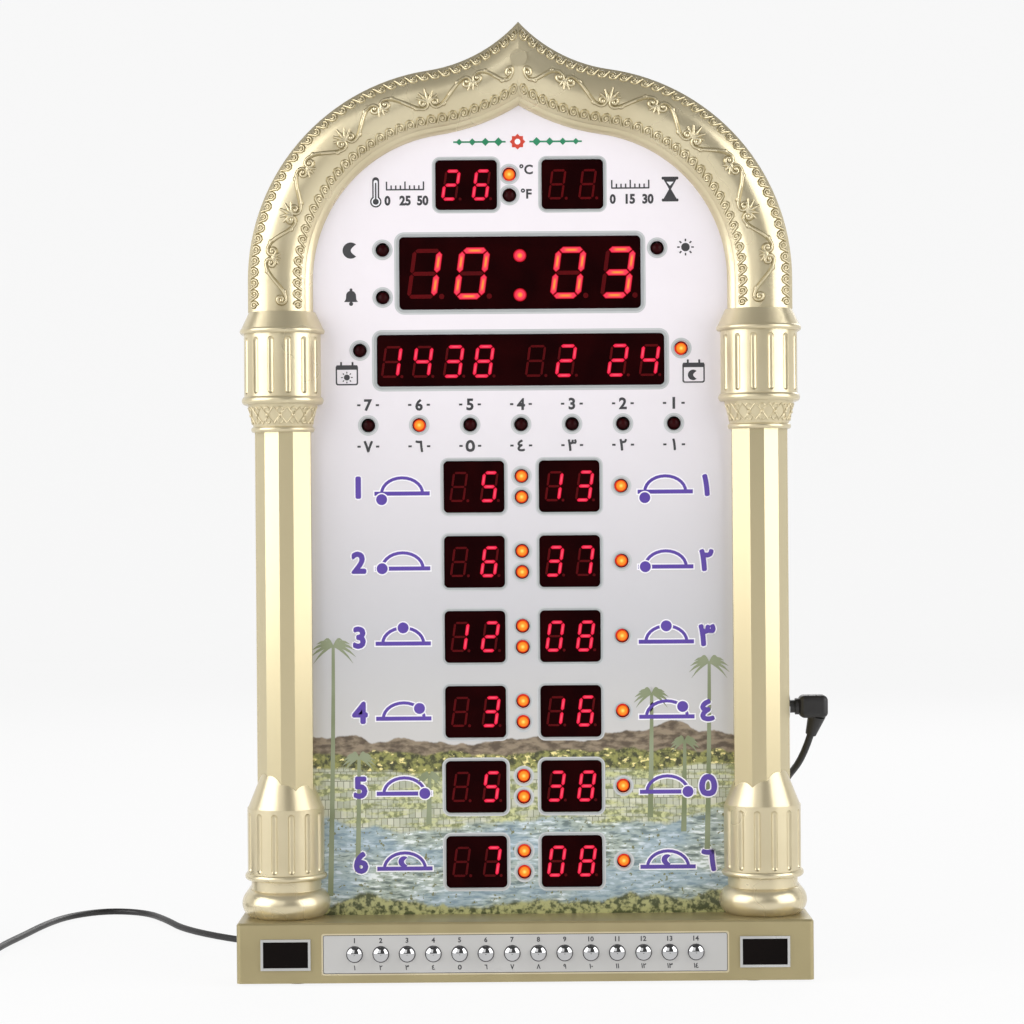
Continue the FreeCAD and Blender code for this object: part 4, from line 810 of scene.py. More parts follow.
@dataclass
class Print:
    """Flat printed shapes in front of an upright face.

    Attributes:
        front: Y of the face that carries the print.
        thick: thickness of one layer of ink.
        count: how many areas are printed so far; each differs a little in height from the last.
    """

    front: float
    thick: float = 0.05 * MM
    count: int = 0
    shape: bmesh.types.BMesh = field(default_factory=bmesh.new)

    def area(self, outline: Sequence[Point], ink: Ink, layer: int = 0) -> None:
        """Prints a filled outline as a thin closed slab.

        Args:
            outline: its points, in millimetres.
            ink: the ink.
            layer: how many layers of ink lie underneath.
        """
        self.count += 1
        proud = (layer + 1 + 0.03 * (self.count % 16)) * self.thick
        add_slab(self.shape, outline, self.front - proud, self.front, ink.slot)

    def band(self, outer: Sequence[Point], inner: Sequence[Point], ink: Ink, layer: int = 0) -> None:
        """Prints the space between two outlines.

        Args:
            outer: the outer outline, in millimetres.
            inner: the inner one, with as many points.
            ink: the ink.
            layer: how many layers of ink lie underneath.
        """
        count, slot = len(outer), ink.slot
        near = self.front - (layer + 1) * self.thick
        rings = [[self.shape.verts.new((px * MM, y, pz * MM)) for px, pz in line]
                 for line, y in ((outer, near), (inner, near), (inner, self.front), (outer, self.front))]
        for ring, following in zip(rings, rings[1:] + rings[:1]):
            for i in range(count):
                corners = (ring[i], ring[(i + 1) % count], following[(i + 1) % count], following[i])
                self.shape.faces.new(corners).material_index = slot

    def disc(self, x: float, z: float, radius: float, ink: Ink, layer: int = 0, sides: int = 28) -> None:
        """Prints a filled circle."""
        self.area(circle(x, z, radius, sides), ink, layer)

    def ring(self, x: float, z: float, outer: float, inner: float, ink: Ink, layer: int = 0) -> None:
        """Prints a ring."""
        self.band(circle(x, z, outer, 40), circle(x, z, inner, 40), ink, layer)

    def line(self, points: Sequence[Point], width: float, ink: Ink, layer: int = 0) -> None:
        """Prints an unbroken line with square ends and mitred corners.

        Args:
            points: its middle, in millimetres.
            width: its width.
            ink: the ink.
            layer: how many layers of ink lie underneath.
        """
        sides = ([], [])
        last = len(points) - 1
        for i, (x, z) in enumerate(points):
            (ax, az), (bx, bz) = points[max(i - 1, 0)], points[min(i + 1, last)]
            long = math.hypot(bx - ax, bz - az)
            turn = 1.0
            if 0 < i < last:
                before = math.hypot(x - ax, z - az)
                turn = ((x - ax) * (bx - ax) + (z - az) * (bz - az)) / (before * long)
            across = (-(bz - az) / long * width / 2 / turn, (bx - ax) / long * width / 2 / turn)
            sides[0].append((x + across[0], z + across[1]))
            sides[1].append((x - across[0], z - across[1]))
        self.area(sides[0] + sides[1][::-1], ink, layer)

    def words(self, text: str, x: float, z: float, height: float, ink: Ink, bold: float = 0.02,
              layer: int = 0, squeeze: float = 1.0, spread: float = 0.0) -> None:
        """Prints numbers or signs, centred on a point.

        Args:
            text: the characters.
            x: centre across, in millimetres.
            z: centre up, in millimetres.
            height: height of the characters, in millimetres.
            ink: the ink.
            bold: how far the strokes are widened, as a share of the height.
            layer: how many layers of ink lie underneath.
            squeeze: width as a share of the normal width.
            spread: how far copies of the figure are shifted round it, in millimetres, to make it bolder.
        """
        spots, faces = figure(text, bold)
        low = [min(s[i] for s in spots) for i in (0, 1)]
        high = [max(s[i] for s in spots) for i in (0, 1)]
        scale = height * MM / (high[1] - low[1])
        depth, slot = (layer + 1) * self.thick, ink.slot
        turns = [math.pi * i / 4 for i in range(8)] if spread else []
        shifts = [(0.0, 0.0)] + [(spread * math.cos(turn), spread * math.sin(turn)) for turn in turns]
        for step, (dx, dz) in enumerate(shifts):
            proud = depth + step * self.thick * 0.04
            verts = [self.shape.verts.new(((x + dx) * MM + (px - (low[0] + high[0]) / 2) * scale * squeeze,
                                           self.front - proud * (py + 1) / 2,
                                           (z + dz) * MM + (pz - (low[1] + high[1]) / 2) * scale))
                     for px, pz, py in spots]
            for corners in faces:
                self.shape.faces.new([verts[i] for i in corners]).material_index = slot

    def outlined(self, text: str, x: float, z: float, height: float) -> None:
        """Prints a bold indigo figure on a wider white one."""
        self.words(text, x, z, height, Ink.WHITE, 0.004, 0, spread=1.1)
        self.words(text, x, z, height, Ink.INDIGO, 0.004, 2, spread=0.5)

    def piece(self, name: str, slot: str, palette: Palette) -> bpy.types.Object:
        """Finishes the print as one piece."""
        return shape_piece(self.shape, name, [palette.get(ink.value) for ink in Ink])


def circle(x: float, z: float, radius: float, sides: int = 28, start: float = 0.0,
           turn: float = 360.0) -> list[Point]:
    """Points on a circle or an arc.

    Args:
        x: its middle across.
        z: its middle up.
        radius: its radius.
        sides: number of points.
        start: where it starts, in degrees counted from the right.
        turn: how far it goes, in degrees; under 360 it has both its ends.

    Returns:
        The points.
    """
    steps = sides if turn >= 360.0 else sides - 1
    return [(x + radius * math.cos(math.radians(start + turn * i / steps)),
             z + radius * math.sin(math.radians(start + turn * i / steps))) for i in range(sides)]


def round_box(x: float, z: float, width: float, height: float, corner: float) -> list[Point]:
    """The outline of a rectangle with rounded corners.

    Args:
        x: its middle across.
        z: its middle up.
        width: its width.
        height: its height.
        corner: radius of its corners.

    Returns:
        Its points, in the unit of the arguments.
    """
    points = []
    for i, (sx, sz) in enumerate(((1, 1), (-1, 1), (-1, -1), (1, -1))):
        cx, cz = x + sx * (width / 2 - corner), z + sz * (height / 2 - corner)
        points += circle(cx, cz, corner, 7, start=90.0 * i, turn=90.0)
    return points


# The clock's own measures, in millimetres

@dataclass(frozen=True)
class KeelArch:
    """The arch's outline: a flank circle each side and a crest circle that curves the other way.

    Attributes:
        reach: half width at the spring line.
        spring: height of the spring line.
        foot: height of the arch's lower ends.
        radius: radius of the flank.
        angle: angle from upright where flank and crest meet, in degrees.
        top: height of the crest.
        width: width of the moulding.
    """

    reach: float = 114.0
    spring: float = 292.0
    foot: float = 279.0
    radius: float = 88.8
    angle: float = 8.3
    top: float = 400.0
    width: float = 27.0

    @property
    def flank_x(self) -> float:
        """How far the flank circle's centre lies from the middle."""
        return self.reach - self.radius

    @property
    def crest_radius(self) -> float:
        """Radius of the crest circle at the outer edge.

        Returns:
            The radius.
        """
        meet = self._meet(self.radius)
        drop = meet[1] - self.top
        a = math.radians(self.angle)
        return -(meet[0] ** 2 + drop ** 2) / (2 * (meet[0] * math.sin(a) + drop * math.cos(a)))

    def _meet(self, radius: float) -> Point:
        """A point at the meeting angle, at some distance from the flank circle's centre."""
        a = math.radians(self.angle)
        return self.flank_x + radius * math.sin(a), self.spring + radius * math.cos(a)

    def length(self, inset: float) -> float:
        """Length of one side of the arch at an inset from its outer edge."""
        return self._stretches(inset)[-1]

    def _stretches(self, inset: float) -> tuple[float, float, float]:
        """Where the leg, the flank and the crest end along one side.

        Args:
            inset: distance from the outer edge.

        Returns:
            The three distances from the foot.
        """
        leg = self.spring - self.foot
        flank = leg + (self.radius - inset) * math.radians(90 - self.angle)
        centre_x = self._meet(self.radius + self.crest_radius)[0]
        crest_turn = math.asin(centre_x / (self.crest_radius + inset)) - math.radians(self.angle)
        return leg, flank, flank + (self.crest_radius + inset) * crest_turn

    def spot(self, along: float, inset: float) -> tuple[Point, Point]:
        """A point on the right half of the arch and the direction towards the outer edge there.

        Args:
            along: distance from the foot along the line at that inset.
            inset: distance from the outer edge.

        Returns:
            The point and the outward direction, both across and up.
        """
        leg, flank, _ = self._stretches(inset)
        if along <= leg:
            return (self.reach - inset, self.foot + along), (1.0, 0.0)
        if along <= flank:
            turn = (along - leg) / (self.radius - inset)
            out = (math.cos(turn), math.sin(turn))
            reach = self.radius - inset
            return (self.flank_x + reach * out[0], self.spring + reach * out[1]), out
        reach = self.crest_radius + inset
        turn = math.radians(self.angle) + (along - flank) / reach
        centre = self._meet(self.radius + self.crest_radius)
        out = (math.sin(turn), math.cos(turn))
        return (centre[0] - reach * out[0], centre[1] - reach * out[1]), out


@dataclass(frozen=True)
class MouldingSection:
    """The arch moulding's front surface: depth behind the plinth's front at each inset.

    Attributes:
        edge_depth: depth where the round front starts at the outer edge.
        lip_depth: depth at the foot of the lip.
        curve: radius of the round front.
        span: inset where the round front ends.
    """

    edge_depth: float = 19.0
    lip_depth: float = 17.8
    curve: float = 15.0
    span: float = 23.8

    def depth(self, inset: float) -> tuple[float, float]:
        """Depth of the surface at an inset, and its slope there.

        Args:
            inset: distance from the outer edge.

        Returns:
            The depth and the slope.
        """
        chord = math.hypot(self.span, self.edge_depth - self.lip_depth)
        tilt = (self.lip_depth - self.edge_depth) / self.span
        rise = math.sqrt(self.curve ** 2 - (chord / 2) ** 2)
        centre = (self.span / 2 + rise * -tilt, (self.edge_depth + self.lip_depth) / 2 + rise)
        limit = self.curve * 0.98
        across = min(max(inset - centre[0], -limit), limit)
        height = math.sqrt(self.curve ** 2 - across ** 2)
        return centre[1] - height, across / height


ARCH = KeelArch()
MOULDING = MouldingSection()
PLINTH_FRONT = -23.0
QUARTERS = (0.0, 0.25, 0.5, 0.75, 1.0)


def on_arch(along: float, inset: float, raised: float, side: int) -> Vector:
    """A point on the arch's front surface, in metres.

    Args:
        along: distance from the foot, as a share of the arch's side at that inset.
        inset: distance from the outer edge, in millimetres.
        raised: height above the surface, in millimetres.
        side: 1 for the right half, -1 for the left.

    Returns:
        The point.
    """
    (x, z), out = ARCH.spot(along * ARCH.length(inset), inset)
    depth, slope = MOULDING.depth(inset)
    norm = math.hypot(1.0, slope)
    shift = -slope / norm * raised
    return Vector((side * (x + out[0] * shift), PLINTH_FRONT + depth - raised / norm,
                   z + out[1] * shift)) * MM


def spiral(turns: float, size: float, points: int, start: float, tail: float) -> list[Point]:
    """A curl that winds in from its rim to its eye, about its own middle.

    Args:
        turns: how often it goes round.
        size: radius of its rim.
        points: number of points.
        start: angle where it starts, in radians.
        tail: radius of its eye, as a share of its size.

    Returns:
        The points.
    """
    line = []
    for i in range(points):
        share = i / (points - 1)
        radius = size * (1 - share * (1 - tail))
        angle = start + turns * 2 * math.pi * share
        line.append((radius * math.cos(angle), radius * math.sin(angle)))
    return line


@dataclass(frozen=True)
class SoftLamp:
    """A soft rectangular lamp that points at the middle of the clock.

    Attributes:
        name: its name.
        place: its place, in metres.
        size: its width and height, in metres.
        power: its power, in watts.
    """

    name: str
    place: tuple[float, float, float]
    size: Point
    power: float

    def build(self) -> None:
        """Makes the lamp."""
        data = bpy.data.lights.new(self.name, "AREA")
        data.shape = "RECTANGLE"
        data.size, data.size_y = self.size
        data.energy = self.power
        lamp = bpy.data.objects.new(self.name, data)
        lamp.location = self.place
        lamp.rotation_euler = (Studio.AIM - Vector(self.place)).to_track_quat("-Z", "Y").to_euler()
        bpy.context.scene.collection.objects.link(lamp)


class Studio:
    """The camera, the lamps, the floor and the backdrop; the last two are in metres."""

    DISTANCE = 1100.0
    CAMERA = Vector((-4.1, PLINTH_FRONT - DISTANCE, 194.7)) * MM
    SENSOR = 36.0
    FRAME_WIDTH = 421.6
    ROLL = 0.44
    AIM = Vector((0.0, 0.0, 0.2))
    LAMPS = (
        SoftLamp("left lamp", (-1.25, -0.60, 0.70), (1.35, 1.3), 20.0),
        SoftLamp("right lamp", (1.25, -0.60, 0.66), (1.35, 1.3), 18.5),
        SoftLamp("front lamp", (-0.7, -1.6, 0.95), (1.2, 1.2), 5.0),
        SoftLamp("rear lamp", (0.3, 1.3, 0.9), (1.0, 0.6), 7.0),
    )
    ROOM = (0.10, 0.10, 0.10, 1.0)
    FLOOR_REACH = 12.0
    FLOOR_BACK = 2.2
    BEND = 0.8
    WALL = 3.0
    KERB = 0.7
    FLOOR_LIGHT = 0.91

    def build(self) -> None:
        """Makes the whole studio: a wide soft lamp at each side, a weak one over the camera, one behind."""
        self._camera()
        for lamp in self.LAMPS:
            lamp.build()
        self._world()
        self._floor()
        bpy.context.scene.view_settings.view_transform = "Standard"

    def _camera(self) -> None:
        """A level camera in front, as far away as the photograph's."""
        data = bpy.data.cameras.new("camera")
        data.sensor_width = self.SENSOR
        data.lens = self.SENSOR * self.DISTANCE / self.FRAME_WIDTH
        data.clip_start, data.clip_end = 0.05, 50.0
        camera = bpy.data.objects.new("camera", data)
        camera.location = self.CAMERA
        camera.rotation_euler = (math.pi / 2, math.radians(self.ROLL), 0.0)
        bpy.context.scene.collection.objects.link(camera)
        bpy.context.scene.camera = camera

    def _world(self) -> None:
        """A plain dark grey room, so that the chrome has something dark to show."""
        world = bpy.data.worlds.new("room")
        bpy.context.scene.world = world
        world.use_nodes = True
        world.node_tree.nodes["Background"].inputs["Color"].default_value = self.ROOM

    def _raise(self, shape: bmesh.types.BMesh, edges: list[bmesh.types.BMEdge], height: float) -> None:
        """Draws a wall up from some edges.

        Args:
            shape: the floor's shape.
            edges: the wall's foot.
            height: its height.
        """
        wall = bmesh.ops.extrude_edge_only(shape, edges=edges)
        top = [v for v in wall["geom"] if isinstance(v, bmesh.types.BMVert)]
        bmesh.ops.translate(shape, verts=top, vec=(0, 0, height))

    def _floor(self) -> None:
        """A pale floor that runs up into a backdrop, with a low kerb at its other sides."""
        reach, back_y = self.FLOOR_REACH, self.FLOOR_BACK
        wall_y = back_y + self.BEND - 0.001
        shape = bmesh.new()
        verts = [shape.verts.new((x, y, 0)) for x, y in
                 ((-reach, -reach), (reach, -reach), (reach, back_y), (-reach, back_y))]
        floor = shape.faces.new(verts)
        back = [e for e in floor.edges if all(v.co.y > 0 for v in e.verts)]
        bmesh.ops.spin(shape, geom=back + list(back[0].verts), cent=(0, back_y, self.BEND), axis=(1, 0, 0),
                       angle=math.pi / 2, steps=12)
        self._raise(shape, [e for e in shape.edges if all(v.co.y > wall_y for v in e.verts)], self.WALL)
        self._raise(shape, [e for e in shape.edges if e.is_boundary and all(v.co.z < 0.001 for v in e.verts)],
                    self.KERB)
        bmesh.ops.remove_doubles(shape, verts=shape.verts, dist=0.0001)
        mesh = bpy.data.meshes.new("floor")
        shape.to_mesh(mesh)
        shape.free()
        mesh.shade_smooth()
        mesh.materials.append(self._floor_white())
        piece = bpy.data.objects.new("floor", mesh)
        bpy.context.scene.collection.objects.link(piece)

    def _floor_white(self) -> bpy.types.Material:
        """White where it is seen or mirrored, and a plain pale surface to the lamps.

        Returns:
            The material.
        """
        shader = Shader("floor_white")
        shader.set(Base_Color=(0.86, 0.86, 0.86), Roughness=0.9, Specular_IOR_Level=0.0)
        path = shader.add("ShaderNodeLightPath").outputs
        glow = shader.add("ShaderNodeEmission", Color=(1.0, 1.0, 1.0), Strength=1.0)
        mirrored = shader.math("MAXIMUM", path["Is Glossy Ray"], path["Is Transmission Ray"])
        seen = shader.math("MAXIMUM", path["Is Camera Ray"], mirrored)
        share = shader.math("MULTIPLY", seen, self.FLOOR_LIGHT)
        mix = shader.add("ShaderNodeMixShader", i0=share, i1=shader.surface.outputs[0], i2=glow.outputs[0])
        shader.feed(shader.tree.nodes["Material Output"].inputs[0], mix.outputs[0])
        return shader.material


@dataclass
class PowerLead:
    """The low-voltage lead: from the plug down behind the case, along the table, to its coil and adapter.

    Attributes:
        palette: the clock's finishes.
        diameter: the cord's diameter, in metres.
        route: points of the stretch that isn't coiled, in metres.
        centre: middle of the coil, across and back, in millimetres.
        radius: radius of the coil's outer turns, in millimetres.
        pitch: distance from turn to turn, in millimetres.
        turns: turns in each of the coil's two layers.
        tail: straight cord between the coil and the adapter, in millimetres.
        rest: height of the coil's lower layer, in millimetres.
        per_turn: points in one turn of the coil.
    """

    palette: Palette
    diameter: float = 0.003
    route: tuple[tuple[float, float, float], ...] = (
        (0.12245, 0.01555, 0.0991),
        (0.1193, 0.0191, 0.0881),
        (0.1130, 0.0330, 0.0780),
        (0.1030, 0.0440, 0.0570),
        (0.0980, 0.0485, 0.0340),
        (0.0910, 0.0505, 0.0130),
        (0.0720, 0.0520, 0.0016),
        (0.0460, 0.0540, 0.0016),
        (0.0000, 0.0620, 0.0016),
        (-0.0460, 0.0600, 0.0016),
        (-0.0920, 0.0660, 0.0016),
        (-0.1280, 0.0860, 0.0016),
        (-0.1580, 0.1200, 0.0016),
        (-0.1700, 0.1500, 0.0016),
        (-0.1830, 0.1740, 0.0016),
        (-0.2030, 0.1810, 0.0016),
        (-0.2190, 0.1650, 0.0016),
        (-0.2260, 0.1380, 0.0017),
        (-0.2300, 0.1060, 0.0018),
        (-0.2340, 0.0780, 0.0020),
        (-0.2360, 0.0480, 0.00205),
    )
    centre: Point = (-258.7, 15.0)
    radius: float = 22.7
    pitch: float = 3.5
    turns: int = 3
    tail: float = 14.0
    rest: float = 2.05
    per_turn: int = 16

    def build(self) -> None:
        """Makes the cord, gives it its finish and hides the imported cord and its coil."""
        spots = [Vector(p) for p in self.route] + self._coil()
        curve = bpy.data.curves.new("power_cord_line", "CURVE")
        curve.dimensions = "3D"
        curve.bevel_depth = self.diameter / 2
        curve.bevel_resolution = 5
        curve.resolution_u = 5
        curve.use_fill_caps = True
        spline = curve.splines.new("NURBS")
        spline.points.add(len(spots) - 1)
        for point, spot in zip(spline.points, spots):
            point.co = (*spot, 1.0)
        spline.order_u = 3
        spline.use_endpoint_u = True
        cord = bpy.data.objects.new("power_cord_line", curve)
        bpy.context.scene.collection.objects.link(cord)
        curve.materials.append(self.palette.get("cord_black"))
        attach(cord, CLOCK)
        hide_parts("power_cord", "power_cord_coil")
        LOG.info("power_cord_line: %d points", len(spots))

    def _coil(self) -> list[Vector]:
        """The coil: in along the lower layer, out along the upper, then straight on.

        Returns:
            Its points.
        """
        count = int((2 * self.turns + 0.5) * self.per_turn)
        climb_start = 2 * math.pi * self.turns
        middle = climb_start + math.pi / 2
        rate = self.pitch / (2 * math.pi)
        swell = 1 / math.cos(math.pi / self.per_turn) ** 0.5
        x, y = self.centre
        spots = [Vector((x + self.radius, y + self.diameter / MM, self.rest)) * MM]
        for i in range(count + 1):
            angle = 2 * math.pi * i / self.per_turn
            radius = (self.radius - rate * (middle - abs(angle - middle))) * swell
            climb = min(max((angle - climb_start) / math.pi, 0.0), 1.0)
            height = self.rest + self.pitch * (3 * climb ** 2 - 2 * climb ** 3)
            spots.append(Vector((x + radius * math.cos(angle), y - radius * math.sin(angle), height)) * MM)
        end = Vector((x - self.radius, y + self.tail, self.rest + self.pitch)) * MM
        return spots + [spots[-1].lerp(end, 0.5), end]


@dataclass
class ArchOrnament:
    """The relief on the arch's moulding: two rows of running scrolls and S-shaped stems between them.

    Attributes:
        palette: the clock's finishes.
        rows: inset of each scroll row and the pitch of its scrolls.
        scroll: radius of one scroll.
        middle: inset of the stems' middle line.
        swing: how far a stem swings to each side.
        units: stems on one side of the arch.
        strand: radius of a stem.
        leaf: radius of a leaf at its widest.
        groove: how much wider and lower the line of painted shade along each strand is.
        curl: radius of the curls at a stem's ends.
        ends: where a stem starts and ends, as shares of its unit.
        scroll_line: radius of a scroll's strand.
        beads: radius of the beads in the scrolls and in the stems' curls.
    """

    palette: Palette
    rows: tuple[Point, ...] = ((2.9, 4.5), (21.2, 4.4))
    scroll: float = 1.65
    middle: float = 12.2
    swing: float = 4.3
    units: int = 8
    strand: float = 0.62
    leaf: float = 0.8
    groove: float = 0.38
    curl: float = 2.2
    ends: Point = (0.13, 0.87)
    scroll_line: float = 0.40
    beads: Point = (0.5, 0.95)

    def build(self) -> None:
        """Makes the scroll rows and the stems."""
        self._scroll_rows()
        self._stems()

    def _relief(self, name: str, groups: Sequence[tuple[list, float, bool]], beads: Iterable[Vector],
                bead: float) -> None:
        """Makes one piece of relief, each strand with a line of painted shade along its foot.

        Args:
            name: the piece's name.
            groups: lines as (along, inset, side) spots, strand radius, and whether the strands thin.
            beads: middles of the round beads.
            bead: radius of a bead.
        """
        shape = bmesh.new()
        for lines, radius, tapered in groups:
            # Each strand is laid twice: once in gold, then wider, lower and in a darker gold, as painted
            # shade along its foot.
            for tone, (wider, raised) in enumerate(((0.0, 0.12), (self.groove, -self.groove * 0.75))):
                paths = [[on_arch(along, inset, raised, side) for along, inset, side in line]
                         for line in lines]
                add_tubes(shape, paths, (radius + wider) * MM, tone, tapered)
        add_beads(shape, beads, bead)
        shape_piece(shape, name,
                    [self.palette.get("gold_moulding"), self.palette.get("gold_painted_shade")], smooth=True)

    def _scroll_rows(self) -> None:
        """Two rows of running scrolls, one near each edge of the moulding, each linked to the next."""
        lead, ends, scroll = 2.8, 5.4, self.scroll
        lines, beads = [], []
        for inset, pitch in self.rows:
            length = ARCH.length(inset)
            count = int((length - 4.0) / pitch)
            step = (length - ends) / (count - 1)
            flip = 1 if inset < ARCH.width / 2 else -1
            link = [(-step * back, scroll * rise)
                    for back, rise in ((0.62, -0.92), (0.42, -0.2), (0.22, 0.72))]
            curl = [(-u, v) for u, v in spiral(1.4, scroll, 14, start=math.pi / 2, tail=0.16)]
            for side in (1, -1):
                for i in range(count):
                    middle = lead + i * step
                    lines.append([((middle + u) / length, inset + v * flip, side)
                                  for u, v in (link if i else []) + curl])
                    beads.append(on_arch(middle / length, inset, 0.18, side))
        self._relief("arch_scrolls", [(lines, self.scroll_line, False)], beads, self.beads[0])

    def _stems(self) -> None:
        """S-shaped stems that cross the moulding, curled at both ends, with a leaf crown where two meet."""
        stems, leaves, beads = [], [], []
        for side in (1, -1):
            for i in range(self.units):
                stem = self._stem(i, side)
                stems += stem
                for line in stem[1:]:
                    along, inset, _ = line[-1]
                    beads.append(on_arch(along, inset, 0.2, side))
                leaves += self._tendrils(i, side) + self._crown(i, side)
        groups = [(stems, self.strand, False), (leaves, self.leaf, True)]
        self._relief("arch_vine", groups, beads, self.beads[1])

    @property
    def unit(self) -> float:
        """Length of one stem's stretch of the arch."""
        return (ARCH.length(self.middle) - 5.0) / self.units

    def _spot(self, i: int, side: int, u: float, v: float) -> tuple[float, float, int]:
        """A spot of one stem's stretch.

        Args:
            i: the stem's number, counted from the foot.
            side: 1 for the right half of the arch, -1 for the left.
            u: distance along the stretch, in millimetres.
            v: distance across, which every other stem takes the other way.

        Returns:
            Share of the arch's length, inset and side.
        """
        bend = 1 if i % 2 == 0 else -1
        return (2.5 + i * self.unit + u) / ARCH.length(self.middle), self.middle + bend * v, side

    def _stem(self, i: int, side: int) -> list[list]:
        """One stem and the curls at its two ends.

        Args:
            i: the stem's number.
            side: its half of the arch.

        Returns:
            The three lines.
        """
        steps = 16
        near, far = (self.unit * end for end in self.ends)
        lines = [[self._spot(i, side, near + (far - near) * k / steps,
                             self.swing * math.cos(math.pi * k / steps)) for k in range(steps + 1)]]
        for place, way in ((near, 1), (far, -1)):
            curl = spiral(1.15, self.curl, steps, start=math.pi / 2, tail=0.22)
            lines.append([self._spot(i, side, place + way * u, way * (self.swing - self.curl + v))
                          for u, v in curl])
        return lines

    def _tendrils(self, i: int, side: int) -> list[list]:
        """Two short tendrils that leave a stem.

        Args:
            i: the stem's number.
            side: its half of the arch.

        Returns:
            Their lines.
        """
        near, far = (self.unit * end for end in self.ends)
        lines = []
        for place, way in ((0.30, -1), (0.70, 1)):
            base = self.swing * math.cos(math.pi * place)
            lines.append([self._spot(i, side, near + (far - near) * place + way * 2.4 * share,
                                     base - way * (0.5 + 2.3 * share - 1.9 * share ** 2))
                          for share in QUARTERS])
        return lines

    def _crown(self, i: int, side: int) -> list[list]:
        """The leaves where a stem meets the next: five long ones or three short ones.

        Args:
            i: the stem's number.
            side: its half of the arch.

        Returns:
            Their lines, none for the last stem.
        """
        if i == self.units - 1:
            return []
        big = i % 2 == 1
        lines = []
        for turn in ((-0.9, -0.45, 0.0, 0.45, 0.9) if big else (-0.5, 0.0, 0.5)):
            reach = 6.0 - 1.6 * abs(turn) if big else 3.8
            lines.append([self._spot(i, side, self.unit + reach * share * (1 + 0.25 * share) * math.sin(turn),
                                     -self.curl + share * reach * math.cos(turn))
                          for share in QUARTERS])
        return lines


@dataclass
class CollarRelief:
    """The lattice band round each column under its capital.

    Attributes:
        palette: the clock's finishes.
        column: distance of the column's axis from the middle.
        axis_y: the column's axis, in front-to-back position.
        low: height and radius at the band's lower edge.
        high: height and radius at the band's upper edge.
        bays: diamonds round the front half.
        strand: radius of a strand.
        bead: radius of a bead.
        curl: size of the curls, as shares of the round and of the band's height.
        arc: the angle each way from the front that the band covers, in degrees.
    """

    palette: Palette
    column: float = 100.0
    axis_y: float = -1.0
    low: Point = (231.4, 12.5)
    high: Point = (240.0, 14.6)
    bays: int = 7
    strand: float = 0.36
    bead: float = 0.85
    curl: Point = (0.22, 0.13)
    arc: float = 82.0

    def _spot(self, side: int, turn: float, rise: float, raised: float = 0.05) -> Vector:
        """A point on the band.

        Args:
            side: 1 for the right column, -1 for the left.
            turn: place round the front, from -1 to 1.
            rise: place up the band, from 0 to 1.
            raised: height above the surface, in millimetres.

        Returns:
            The point.
        """
        height = self.low[0] + (self.high[0] - self.low[0]) * rise
        radius = self.low[1] + (self.high[1] - self.low[1]) * rise + raised
        angle = turn * math.radians(self.arc)
        return Vector((side * self.column + radius * math.sin(angle),
                       self.axis_y - radius * math.cos(angle), height)) * MM

    def build(self) -> None:
        """Makes the crossing strands, the curls between them and a bead in each diamond."""
        strands, beads = [], []
        bay = 2.0 / self.bays
        for side in (1, -1):
            for i in range(self.bays):
                left = -1.0 + i * bay
                for first, last in ((0.1, 0.9), (0.9, 0.1)):
                    strands.append([self._spot(side, left + bay * s, first + (last - first) * s)
                                    for s in QUARTERS])
                beads.append(self._spot(side, left + bay / 2, 0.5, 0.1))
                for rise, start in ((0.24, 0.5), (0.76, 1.5)):
                    strands.append([self._spot(side, left + bay / 2 + u, rise + v)
                                    for u, v in ((bay * self.curl[0] * math.cos(math.pi * (start + t)),
                                                  self.curl[1] * math.sin(math.pi * (start + t)))
                                                 for t in (0.0, 0.3, 0.6, 0.9, 1.2, 1.5))])
        shape = bmesh.new()
        add_tubes(shape, strands, self.strand * MM)
        add_beads(shape, beads, self.bead)
        shape_piece(shape, "collar_relief", [self.palette.get("gold_moulding")], smooth=True)


class Segment(Enum):
    """The seven strokes of a digit, as their ends in half widths and half heights."""

    TOP = ((-1, 1), (1, 1))
    UPPER_RIGHT = ((1, 1), (1, 0))
    LOWER_RIGHT = ((1, 0), (1, -1))
    BOTTOM = ((-1, -1), (1, -1))
    LOWER_LEFT = ((-1, 0), (-1, -1))
    UPPER_LEFT = ((-1, 1), (-1, 0))
    MIDDLE = ((-1, 0), (1, 0))


DIGIT_STROKES = {
    "0": "abcdef", "1": "bc", "2": "abged", "3": "abgcd", "4": "fgbc", "5": "afgcd",
    "6": "afgcde", "7": "abc", "8": "abcdefg", "9": "abcdfg", "_": "",
}


